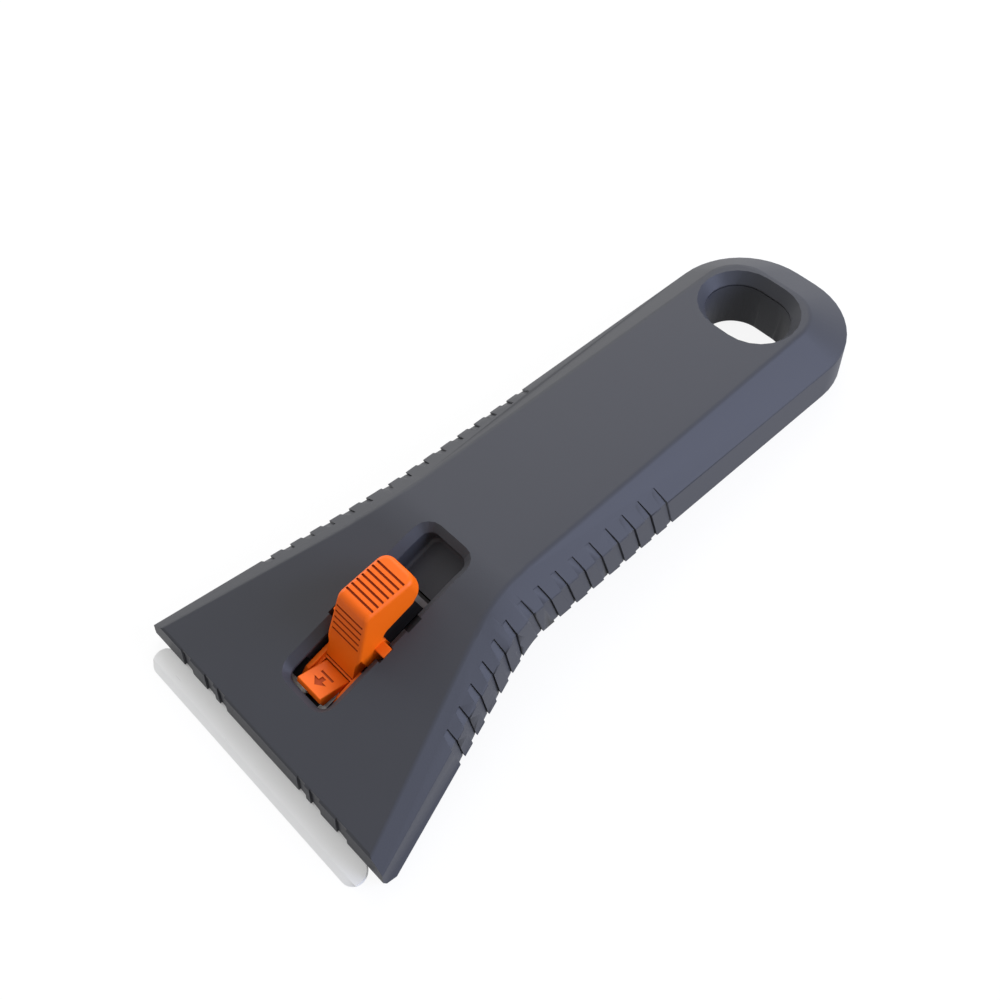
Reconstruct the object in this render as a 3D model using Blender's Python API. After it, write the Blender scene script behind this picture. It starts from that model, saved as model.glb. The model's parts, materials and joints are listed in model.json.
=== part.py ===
# Ceramic blade scraper: a flat wide head, a bent handle with a hanging eye,
# and a thumb slider that carries a ceramic blade. Metres, +Z up.
# Two plan frames follow the bent spine: x runs across, t runs along the top
# face from the bend line (negative in the head), and h is the height over it.
# In the head alone, s is the distance forward of the bend line.

import math

import bpy
import bmesh
from mathutils import Vector

# Overall form
HEAD_ANGLE = math.radians(17.4)
HEAD_LENGTH = 0.0520
HANDLE_LENGTH = 0.1161
BEND_TANGENT = 0.0050
PLAN_EASE = 0.0090
FRONT_HALF = 0.0370
BEND_HALF = 0.0221
END_HALF = 0.0216
FRONT_CHAMFER = 0.0035
BEND_CHAMFER = 0.0065
END_CHAMFER = 0.0080
FRONT_DROP = 0.0024
BEND_DROP = 0.0045
END_DROP = 0.0069
FRONT_DEPTH = 0.00825
HEAD_TAPER_share = 0.1156
END_DEPTH = 0.0163

# Eased outer edges: reach along each face from the sharp corner
TOP_EASE = 0.0007
FLANK_EASE = 0.0003

# Front profile of the head
TOP_FRONT_SET = 0.0013
LIP_REACH = 0.0008
LIP_HIGH = 0.0051
LIP_LOW = 0.0068
LOW_LIP_REACH = 0.0006
FOOT_SET = 0.0014
FRONT_WALL = 0.0015

# Rounded end of the handle
END_RADIUS = 0.0190
END_SLOPE = 0.0117
END_TOP_RADIUS = 0.0088

# Walls and clearances
SKIN = 0.0024
HEAD_WALL = 0.0015
HANDLE_WALL = 0.0022
HEAD_PLATE = 0.0010
HANDLE_PLATE = 0.0018
GAP = 0.0003
RUNNING_GAP = 0.0003
OVERRUN = 0.0010
OVERLAP = 0.0004

# Hanging eye
EYE_SET = 0.0224
EYE_HALF_FLAT = 0.0024
EYE_RADIUS = 0.0080
EYE_MOUTH = 0.0099
EYE_THROAT = 0.0025
EYE_WALL = 0.0016

# Slot, blade and slider, all placed from a zero line across the head that
# lies HEAD_FRONT behind its front edge
HEAD_FRONT = 0.0520
SLOT_HALF = 0.00585
SLOT_RIM = 0.00165
SLOT_RIM_DEPTH = 0.0018
SLOT_REAR = 0.00205
SLOT_REAR_RIM = 0.00152
SLOT_FRONT = 0.03915
SLOT_FRONT_RIM = 0.00095
SLOT_RADIUS = 0.0022
POCKET_FRONT = 0.0088
POCKET_DEPTH = 0.0065
POCKET_FLOOR = 0.0008
POCKET_WALL = 0.0013
POCKET_FILLET = 0.0008
TUB_FILLET = 0.0018
LOCK_HALF = 0.0080
LOCK_LENGTH = 0.0038
LOCK_FRONT = 0.0246

# Grip notches on both flanks
NOTCH_COUNT_HANDLE = 9
NOTCH_COUNT_HEAD = 6
NOTCH_FIRST = 0.04257
NOTCH_PITCH_HANDLE = 0.00484
NOTCH_HEAD_FIRST = 0.00152
NOTCH_PITCH_HEAD = 0.00459
NOTCH_DEPTH = 0.00045
NOTCH_TOP_DEPTH = 0.00024
NOTCH_FADE_DEPTH = 0.00004
NOTCH_TAIL_DEPTH = 0.00036
NOTCH_LINE = 0.00022
NOTCH_LINE_DEPTH = 0.0002
NOTCH_TOP_FLOOR = 0.00145
NOTCH_EDGE_FLOOR = 0.0020
NOTCH_FOOT_FLOOR = 0.0015
NOTCH_EXIT = 0.0003
NOTCH_START_share = 0.52
NOTCH_LEAN_HANDLE_share = 0.26
NOTCH_LEAN_HEAD_share = -0.18

# Shallow marks in the front face
FRONT_MARK_DEPTH = 0.00035
FRONT_MARK_shares = ((0.316, 0.381), (0.419, 0.500), (0.632, 0.716))
FRONT_MARK_LOW = 0.0040

# Blade
BLADE_EDGE = 0.0584
BLADE_SIDE_SET = 0.0034
BLADE_BAR = 0.0058
BLADE_BODY_SET = 0.0046
BLADE_BODY_REAR = 0.0405
BLADE_TANG_HALF = 0.0085
BLADE_TANG_REAR = 0.0345
BLADE_TOP = 0.0056
BLADE_THICK = 0.0009
BLADE_BEVEL = 0.0014
BLADE_HOLE_HALF = 0.0021
BLADE_HOLE_REAR = 0.0368
BLADE_HOLE_FRONT = 0.0396
SLIT_CLEARANCE = 0.0004
TRAVEL = 0.0080

# Blade carrier
CARRIER_HALF = 0.0080
CARRIER_WALL = 0.00185
DECK_REAR = 0.0090
DECK_TOP = 0.0083
DECK_THICK = 0.0008
DECK_FRONT = 0.0346
DECK_TAPER = 0.0036
DECK_NOSE_THICK = 0.0005
CHEEK_REAR = 0.0172
FLOOR_FRONT = 0.0405
FLOOR_THICK = 0.0011
HOOK_WINDOW_HALF = 0.0026
HOOK_WINDOW_REAR = 0.0360

# Thumb button
PRESS_TRAVEL = 0.0027
BUTTON_HALF = 0.0053
BUTTON_TOP_HALF = 0.0044
BUTTON_REAR = 0.0080
BUTTON_REAR_TOP = 0.0070
BUTTON_REAR_ROUND = 0.0012
RIDGE_PLACE = 0.0204
RIDGE_HEIGHT = 0.00965
RIDGE_ROUND = 0.0020
FACE_FOOT_PLACE = 0.0307
FACE_FOOT_DEPTH = 0.0043
FOOT_DEPTH = 0.0048
FOOT_REAR = 0.0205
SHELF_HEIGHT = 0.0010
SHELF_FILLET = 0.0015
SHELF_REAR = 0.0118
SHELF_TAIL_HEIGHT = 0.0030
BUTTON_EDGE_ROUND = 0.0008
BUTTON_CORNER = 0.0024
MITER_share = 0.3
FOOT_NECK_HALF = 0.0040
FOOT_NECK_REAR = 0.0283
GROOVE_WIDTH = 0.0005
GROOVE_DEPTH = 0.00035
TOP_GROOVES = 7
TOP_GROOVE_FIRST = 0.0184
TOP_GROOVE_PITCH = 0.00129
TOP_GROOVE_HALF = 0.0034
FACE_GROOVES = 5
FACE_GROOVE_FIRST = 0.02215
FACE_GROOVE_PITCH = 0.00094
FACE_GROOVE_HALF = 0.0032

# Lock lugs
LUG_REAR = 0.0210
LUG_FRONT = 0.02345
LUG_HALF = 0.0079
LUG_THICK = 0.0020

# Slider frame and release tongue
FRAME_HALF = 0.0055
FRAME_WALL = 0.0012
FRAME_RAIL_SET = 0.0001
FRAME_REAR = 0.0286
FRAME_FRONT = 0.0377
FRAME_TOP = 0.0039
FRAME_SEAT_REAR = 0.0317
FRAME_SEAT_FRONT = 0.0339
TONGUE_HALF = 0.00355
TONGUE_HINGE = 0.0316
TONGUE_HINGE_DEPTH = 0.0053
TONGUE_ROOT_DEPTH = 0.0050
TONGUE_TIP = 0.03765
TONGUE_TIP_DEPTH = 0.00105
TONGUE_NOSE_STEP = 0.0008
TONGUE_NOSE_DEPTH = 0.0020
TONGUE_SIDE = 0.0033
TONGUE_ROOT_THICK = 0.0006
HOOK_HALF = 0.0018
HOOK_LENGTH = 0.0010
HOOK_DEPTH = 0.0065

# Lock spring
SPRING_SHEET = 0.0003
SPRING_BAR_LIP = 0.0002
SPRING_HALF = 0.0028
SPRING_REAR = 0.0099
SPRING_BAR = 0.0011
SPRING_BAR_HALF = 0.0054
SPRING_FOLD = 0.0215
SPRING_TIP = 0.0268

# Cover screws
SCREW_HEAD_share = 0.385
SCREW_HEAD_SPREAD = 0.0180
SCREW_HANDLE_share = 0.534
SCREW_HANDLE_SPREAD = 0.0110
SCREW_CAP_RADIUS = 0.0022
SCREW_CAP_HEIGHT = 0.0009
SCREW_RADIUS = 0.0010
SCREW_SEAT = 0.0017
SCREW_SEAT_WALL = 0.0012
BOSS_WALL = 0.0018
BOSS_ROOF = 0.0032

# Ribs inside the housing and on the cover
RIB = 0.0012
BLADE_RIB_shares = (0.45, 0.86)
BLADE_RIB_REAR = 0.0410
COVER_RIB_shares = (0.52, 0.93)
GUIDE_REAR = 0.0030
GUIDE_STEP = 0.0260
GUIDE_DEPTH = 0.0080
GUIDE_FRONT = 0.0420
RAIL_PLACE = 0.0060
HANDLE_RIB_shares = (0.155, 0.33)

HOUSING_ROWS = 12
POCKET_FILLET_STEPS = 3
BUTTON_EDGE_STEPS = 3
BUTTON_CORNER_shares = (0.65, 1.0)
ARC_STEPS = 12
BEND_STEPS = 6
PLAN_STEPS = 2
CORNER_STEPS = 4
SLOT_BEND_STEPS = 3
ROUND_SIDES = 24


def lerp(a, b, share):
    return a + (b - a) * share


def clear_scene():
    for old in list(bpy.data.objects):
        bpy.data.objects.remove(old, do_unlink=True)


def make_material(name, colour, roughness, metallic=0.0):
    material = bpy.data.materials.new(name)
    material.use_nodes = True
    shader = material.node_tree.nodes["Principled BSDF"]
    shader.inputs["Base Color"].default_value = (*colour, 1.0)
    shader.inputs["Roughness"].default_value = roughness
    shader.inputs["Metallic"].default_value = metallic
    return material


# Sections along the spine
def slider_shift():
    return HEAD_LENGTH - HEAD_FRONT


def blade_half():
    return FRONT_HALF - BLADE_SIDE_SET


def blade_body_half():
    return blade_half() - BLADE_BODY_SET


def slit_half():
    return blade_half() + SLIT_CLEARANCE


def end_top_length():
    return HANDLE_LENGTH - END_SLOPE


def end_top_half():
    return END_HALF - END_CHAMFER


def run_past(t):
    # How far t is past the bend line, with the start of the run eased.
    near = max(-PLAN_EASE, min(PLAN_EASE, t))
    return (PLAN_EASE + near) ** 2 / (4 * PLAN_EASE) + max(0.0, t - PLAN_EASE)


def half_width(t):
    head_slope = (FRONT_HALF - BEND_HALF) / HEAD_LENGTH
    handle_slope = (END_HALF - BEND_HALF) / HANDLE_LENGTH
    return BEND_HALF + head_slope * run_past(-t) + handle_slope * run_past(t)


def top_half_width(t):
    bend = BEND_HALF - BEND_CHAMFER
    head_slope = (FRONT_HALF - FRONT_CHAMFER - bend) / (HEAD_LENGTH - TOP_FRONT_SET)
    handle_slope = (end_top_half() - bend) / (end_top_length() - END_TOP_RADIUS)
    return bend + head_slope * run_past(-t) + handle_slope * run_past(t)


def chamfer_drop(t):
    if t < 0.0:
        return lerp(BEND_DROP, FRONT_DROP, -t / HEAD_LENGTH)
    return lerp(BEND_DROP, END_DROP, min(1.0, t / end_top_length()))


def depth(t):
    if t < 0.0:
        return FRONT_DEPTH + (HEAD_LENGTH - FOOT_SET + t) * HEAD_TAPER_share
    bend_depth = FRONT_DEPTH + (HEAD_LENGTH - FOOT_SET) * HEAD_TAPER_share
    return lerp(bend_depth, END_DEPTH, t / HANDLE_LENGTH)


def wall(t):
    return HEAD_WALL if t < -BEND_TANGENT else HANDLE_WALL


def on_spine(x, t, h):
    # The head plane and the handle plane meet in an arc of tangent BEND_TANGENT.
    if t <= -BEND_TANGENT:
        angle = HEAD_ANGLE
        along = t
        return Vector((x, along * math.cos(angle) - h * math.sin(angle),
                       along * math.sin(angle) + h * math.cos(angle)))
    if t >= BEND_TANGENT:
        return Vector((x, t, h))
    radius = BEND_TANGENT / math.tan(HEAD_ANGLE / 2)
    angle = HEAD_ANGLE * (BEND_TANGENT - t) / (2 * BEND_TANGENT)
    return Vector((x, BEND_TANGENT - (radius + h) * math.sin(angle),
                   -radius + (radius + h) * math.cos(angle)))


def in_head(x, s, h):
    return Vector((x, -s, h))


def on_head(x, s, h):
    return on_spine(x, -s - slider_shift(), h)


# Solids are lists of points and of faces; one mesh may hold several.
class Shape:
    def __init__(self):
        self.points = []
        self.faces = []

    def add(self, points, faces):
        base = len(self.points)
        self.points.extend(points)
        self.faces.extend([[base + i for i in face] for face in faces])

    def loft(self, rings):
        # Closed rings of equal length, capped at both ends.
        count = len(rings[0])
        points = [p for ring in rings for p in ring]
        faces = [list(range(count)), [(len(rings) - 1) * count + i for i in range(count)]]
        for r in range(len(rings) - 1):
            for i in range(count):
                j = (i + 1) % count
                faces.append([r * count + i, r * count + j, (r + 1) * count + j, (r + 1) * count + i])
        self.add(points, faces)

    def mirrored_layers(self, layers):
        # Each layer is the right side of a plan outline, front to end. The left
        # side mirrors it, and the first and last layers are capped rung by rung.
        count = len(layers[0])
        rings = []
        for layer in layers:
            left = [Vector((-p.x, p.y, p.z)) for p in layer]
            rings.append(list(layer) + left[::-1])
        size = 2 * count
        points = [p for ring in rings for p in ring]
        faces = []
        for r in range(len(rings) - 1):
            for i in range(size):
                j = (i + 1) % size
                faces.append([r * size + i, r * size + j, (r + 1) * size + j, (r + 1) * size + i])
        for r in (0, len(rings) - 1):
            for i in range(count - 1):
                faces.append([r * size + i, r * size + i + 1,
                              r * size + size - 2 - i, r * size + size - 1 - i])
        self.add(points, faces)

    def block(self, x0, x1, s0, s1, h0, h1):
        low = [in_head(x0, s0, h0), in_head(x1, s0, h0), in_head(x1, s1, h0), in_head(x0, s1, h0)]
        high = [in_head(x0, s0, h1), in_head(x1, s0, h1), in_head(x1, s1, h1), in_head(x0, s1, h1)]
        self.loft([low, high])

    def bar(self, profile, x0, x1):
        # A profile of (s, h) points, drawn across from x0 to x1.
        self.loft([[in_head(x0, s, h) for s, h in profile], [in_head(x1, s, h) for s, h in profile]])

    def turned(self, centre, levels, placer):
        # Circles of (radius, height) round an upright axis at centre (x, t).
        rings = []
        for radius, h in levels:
            rings.append([placer(centre[0] + radius * math.cos(a), centre[1] + radius * math.sin(a), h)
                          for a in turn_angles(ROUND_SIDES)])
        self.loft(rings)

    def obround(self, levels):
        # Long round outlines of (radius, height) at the hanging eye.
        rings = []
        for radius, h in levels:
            ring = []
            for side, start in ((1, -math.pi / 2), (-1, math.pi / 2)):
                for k in range(ARC_STEPS + 1):
                    a = start + math.pi * k / ARC_STEPS
                    ring.append(Vector((side * EYE_HALF_FLAT + radius * math.cos(a),
                                        HANDLE_LENGTH - EYE_SET + radius * math.sin(a), h)))
            rings.append(ring)
        self.loft(rings)


def turn_angles(sides):
    return [2 * math.pi * k / sides for k in range(sides)]


def arc_points(centre, radius, start, end, steps):
    # Points of (s, h) on an arc, angles in degrees from +s towards +h.
    points = []
    for k in range(steps + 1):
        a = math.radians(lerp(start, end, k / steps))
        points.append((centre[0] + radius * math.cos(a), centre[1] + radius * math.sin(a)))
    return points


def make_object(name, shape, parent, material=None, helper=False):
    mesh = bpy.data.meshes.new(name)
    mesh.from_pydata([tuple(p) for p in shape.points], [], shape.faces)
    work = bmesh.new()
    work.from_mesh(mesh)
    bmesh.ops.recalc_face_normals(work, faces=work.faces)
    work.to_mesh(mesh)
    work.free()
    made = bpy.data.objects.new(name, mesh)
    bpy.context.scene.collection.objects.link(made)
    made.parent = parent
    if material:
        mesh.materials.append(material)
    if helper:
        made.hide_render = True
        made.display_type = 'WIRE'
    return made


def boolean(target, operation, shape, parent, name):
    tool = make_object(name, shape, parent, helper=True)
    modifier = target.modifiers.new(name, 'BOOLEAN')
    modifier.operation = operation
    modifier.object = tool
    modifier.solver = 'EXACT'


def make_empty(name, parent, location=(0.0, 0.0, 0.0), tilt=0.0):
    empty = bpy.data.objects.new(name, None)
    bpy.context.scene.collection.objects.link(empty)
    empty.parent = parent
    empty.location = location
    empty.rotation_euler = (tilt, 0.0, 0.0)
    return empty


# Housing shell
def end_stations():
    # Plan points of the rounded handle end: the top outline and the edge below it.
    stations = []
    edge_centre = (END_HALF - END_RADIUS, HANDLE_LENGTH - END_RADIUS)
    top_centre = (end_top_half() - END_TOP_RADIUS, end_top_length() - END_TOP_RADIUS)
    for k in range(ARC_STEPS + 1):
        a = math.pi / 2 * k / ARC_STEPS
        direction = Vector((math.cos(a), math.sin(a)))
        top = Vector(top_centre) + direction * END_TOP_RADIUS
        edge = Vector(edge_centre) + direction * END_RADIUS
        stations.append((top, edge, direction))
    return stations


def straight_stations():
    beyond = [lerp(BEND_TANGENT, PLAN_EASE, k / PLAN_STEPS) for k in range(1, PLAN_STEPS + 1)]
    places = [-place for place in reversed(beyond)]
    places += [-BEND_TANGENT + 2 * BEND_TANGENT * k / BEND_STEPS for k in range(BEND_STEPS + 1)]
    places += beyond
    side = Vector((1.0, 0.0))
    return [(Vector((top_half_width(t), t)), Vector((half_width(t), t)), side) for t in places]


def inner_corners(top, edge, direction, drop, thick):
    # The cavity keeps its wall measured square to the chamfer.
    run = (edge - top).dot(direction)
    slant = math.hypot(run, drop)
    across = drop / slant
    up = run / slant
    base = top.dot(direction) * across - thick
    inner_top = top + direction * ((base + SKIN * up) / across - top.dot(direction))
    inner_edge = edge - direction * thick
    edge_height = (base - inner_edge.dot(direction) * across) / up
    return inner_top, inner_edge, edge_height


def eased(before, corner, after, reach):
    # Three places that round a corner over its reach; each is (x, t, h).
    start = corner + (before - corner).normalized() * reach
    end = corner + (after - corner).normalized() * reach
    middle = corner.lerp((start + end) / 2, 2 / 3)
    return [start, middle, end]


def housing_layers():
    rows = [[] for _ in range(HOUSING_ROWS)]
    front = HEAD_LENGTH
    top_front = front - TOP_FRONT_SET
    mid_front = lerp(top_front, front + LIP_REACH, FRONT_DROP / LIP_HIGH)
    corner = Vector((FRONT_HALF - FRONT_CHAMFER, -top_front, 0.0))
    edge = Vector((FRONT_HALF, -mid_front, -FRONT_DROP))
    lip = Vector((FRONT_HALF, -front - LIP_REACH, -LIP_HIGH))
    inwards = Vector((-1.0, 1.0, 0.0))
    outline = eased(corner + inwards, corner, edge, TOP_EASE)
    outline += eased(corner, edge, lip, FLANK_EASE)
    outline += [lip, Vector((FRONT_HALF, -front - LOW_LIP_REACH, -LIP_LOW)),
                Vector((FRONT_HALF, -front + FOOT_SET, -FRONT_DEPTH))]
    for row, place in zip(rows, outline):
        row.append(on_spine(*place))
    inside = top_front - FRONT_WALL
    top = Vector((top_half_width(-inside), -inside))
    edge = Vector((half_width(-inside), -inside))
    inner_top, inner_edge, edge_height = inner_corners(top, edge, Vector((1.0, 0.0)),
                                                       chamfer_drop(-inside), HEAD_WALL)
    rows[-3].append(on_spine(inner_edge.x, -inside, -depth(-inside)))
    rows[-2].append(on_spine(inner_edge.x, -inside, edge_height))
    rows[-1].append(on_spine(inner_top.x, -inside, -SKIN))
    for top, edge, direction in straight_stations() + end_stations():
        drop = chamfer_drop(edge.y)
        low = depth(edge.y)
        thick = wall(edge.y)
        inner_top, inner_edge, edge_height = inner_corners(top, edge, direction, drop, thick)
        lip_share = (LIP_HIGH - FRONT_DROP) / (FRONT_DEPTH - FRONT_DROP)
        low_share = (LIP_LOW - FRONT_DROP) / (FRONT_DEPTH - FRONT_DROP)
        corner = Vector((top.x, top.y, 0.0))
        brink = Vector((edge.x, edge.y, -drop))
        foot = Vector((edge.x, edge.y, -low))
        inwards = Vector((-direction.x, -direction.y, 0.0))
        places = eased(corner + inwards, corner, brink, TOP_EASE) + eased(corner, brink, foot, FLANK_EASE)
        places += [brink.lerp(foot, lip_share), brink.lerp(foot, low_share), foot]
        for row, place in zip(rows, places):
            row.append(on_spine(*place))
        rows[-3].append(on_spine(inner_edge.x, inner_edge.y, -depth(inner_edge.y)))
        rows[-2].append(on_spine(inner_edge.x, inner_edge.y, edge_height))
        rows[-1].append(on_spine(inner_top.x, inner_top.y, -SKIN))
    return rows


def slot_outline(spread_x, rear, front, radius, h):
    # Rounded plan outline of the slot that follows the bent top face.
    # Its rear end keeps to the bend line and its front end to the head's front.
    plan = []
    corners = ((spread_x, -front - slider_shift(), -90.0), (spread_x, rear, 0.0),
               (-spread_x, rear, 90.0), (-spread_x, -front - slider_shift(), 180.0))
    straight = [-BEND_TANGENT * k / SLOT_BEND_STEPS for k in range(1, SLOT_BEND_STEPS + 1)]
    for x, t, start in corners:
        centre = (x - math.copysign(radius, x), t - math.copysign(radius, t))
        plan += arc_points(centre, radius, start, start + 90.0, CORNER_STEPS)
        if t < 0.0 < x:
            plan += [(x, place) for place in reversed(straight)]
        if x < 0.0 < t:
            plan += [(x, place) for place in straight]
    return [on_spine(x, t, h) for x, t in plan]


def slot_cutter():
    shape = Shape()
    grow = SLOT_RIM * OVERRUN / SLOT_RIM_DEPTH
    wide = SLOT_HALF + SLOT_RIM
    rear = SLOT_REAR + SLOT_REAR_RIM
    front = SLOT_FRONT + SLOT_FRONT_RIM
    shape.loft([
        slot_outline(wide + grow, rear + grow, front + grow, SLOT_RADIUS + SLOT_RIM + grow, OVERRUN),
        slot_outline(wide, rear, front, SLOT_RADIUS + SLOT_RIM, 0.0),
        slot_outline(SLOT_HALF, SLOT_REAR, SLOT_FRONT, SLOT_RADIUS, -SLOT_RIM_DEPTH),
        slot_outline(SLOT_HALF, SLOT_REAR, SLOT_FRONT, SLOT_RADIUS, -SKIN - OVERRUN)])
    return shape


def flank_notch(shape, side, t, lean):
    # One grip notch: a sharp step across the chamfer and down the flank, with a
    # narrow line at its foot, a floor that ramps out towards the blade, and a
    # short slanted step out again. The line turns along the notch's top end.
    top = top_half_width(t)
    edge = half_width(t)
    drop = chamfer_drop(t)
    low = depth(t)
    slant = math.hypot(edge - top, drop)
    normal = Vector((drop / slant, (edge - top) / slant))
    start = Vector((lerp(top, edge, NOTCH_START_share), -drop * NOTCH_START_share))
    corner = Vector((edge, -drop))
    foot = Vector((edge, -low - OVERRUN))
    miter = (normal + Vector((1.0, 0.0))) / (1.0 + normal.x)
    rings = []
    below = start + (corner - start).normalized() * NOTCH_LINE
    line = NOTCH_LINE_DEPTH
    steps = ((start, normal, NOTCH_TOP_DEPTH, line, NOTCH_FADE_DEPTH, NOTCH_TOP_FLOOR),
             (below, normal, NOTCH_TOP_DEPTH, 0.0, NOTCH_FADE_DEPTH, NOTCH_TOP_FLOOR),
             (corner, miter, NOTCH_DEPTH, 0.0, NOTCH_TAIL_DEPTH, NOTCH_EDGE_FLOOR),
             (foot, Vector((1.0, 0.0)), NOTCH_DEPTH, 0.0, NOTCH_TAIL_DEPTH, NOTCH_FOOT_FLOOR))
    for place, outward, step, deeper, tail, floor in steps:
        shift = -(place.y - start.y) * lean
        ring = []
        for back, out in ((0.0, OVERRUN), (0.0, -step - line), (NOTCH_LINE, -step - deeper),
                          (floor, -tail), (floor + NOTCH_EXIT, OVERRUN)):
            point = place + outward * out
            along = t + shift - back
            widening = half_width(along) - half_width(t + shift) if out < OVERRUN else 0.0
            drift = half_width(t + shift) - edge
            ring.append(on_spine(side * (point.x + widening + drift), along, point.y))
        rings.append(ring)
    shape.loft(rings)


def grip_notches(shape):
    for side in (1, -1):
        for k in range(NOTCH_COUNT_HANDLE):
            flank_notch(shape, side, NOTCH_FIRST - NOTCH_PITCH_HANDLE * k, NOTCH_LEAN_HANDLE_share)
        for k in range(NOTCH_COUNT_HEAD):
            flank_notch(shape, side, -NOTCH_HEAD_FIRST - NOTCH_PITCH_HEAD * k, NOTCH_LEAN_HEAD_share)


def front_marks(shape):
    # Shallow recesses in the sloping front face, either side of the middle.
    slope = (TOP_FRONT_SET + LIP_REACH) / LIP_HIGH
    for low_share, high_share in FRONT_MARK_shares:
        x0, x1 = FRONT_HALF * low_share, FRONT_HALF * high_share
        for left, right in ((x0, x1), (-x1, -x0)):
            rings = []
            for h in (OVERRUN, -FRONT_MARK_LOW):
                face = HEAD_LENGTH - TOP_FRONT_SET - h * slope
                rings.append([on_spine(left, -face + FRONT_MARK_DEPTH, h),
                              on_spine(right, -face + FRONT_MARK_DEPTH, h),
                              on_spine(right, -face - OVERRUN, h),
                              on_spine(left, -face - OVERRUN, h)])
            shape.loft(rings)


def screw_places():
    head = [(side * SCREW_HEAD_SPREAD, -HEAD_LENGTH * SCREW_HEAD_share) for side in (1, -1)]
    handle = [(side * SCREW_HANDLE_SPREAD, HANDLE_LENGTH * SCREW_HANDLE_share) for side in (1, -1)]
    return head + handle


def screw_seat_top(t):
    return -depth(t) + SCREW_SEAT + SCREW_SEAT_WALL


def pocket_rings(rear):
    # Plan outlines of the pocket: upright walls, rounded rear corners, and a small
    # fillet round its floor.
    angles = [math.pi / 2 * k / POCKET_FILLET_STEPS for k in range(POCKET_FILLET_STEPS + 1)]
    levels = [(0.0, -SKIN)]
    levels += [(POCKET_FILLET * (1.0 - math.cos(a)), -POCKET_DEPTH + POCKET_FILLET * (1.0 - math.sin(a)))
               for a in angles]
    rings = []
    for drawn, h in levels:
        half = SLOT_HALF - drawn
        radius = SLOT_RADIUS - drawn
        front = POCKET_FRONT + OVERRUN
        plan = [(-half, front), (half, front)]
        for side, start in ((1, 0.0), (-1, math.pi / 2)):
            for k in range(CORNER_STEPS + 1):
                a = start + math.pi / 2 * k / CORNER_STEPS
                plan.append((side * (half - radius) + radius * math.cos(a),
                             rear + drawn + radius - radius * math.sin(a)))
        rings.append([in_head_plane(x, s, h) for x, s in plan])
    return rings


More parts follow.
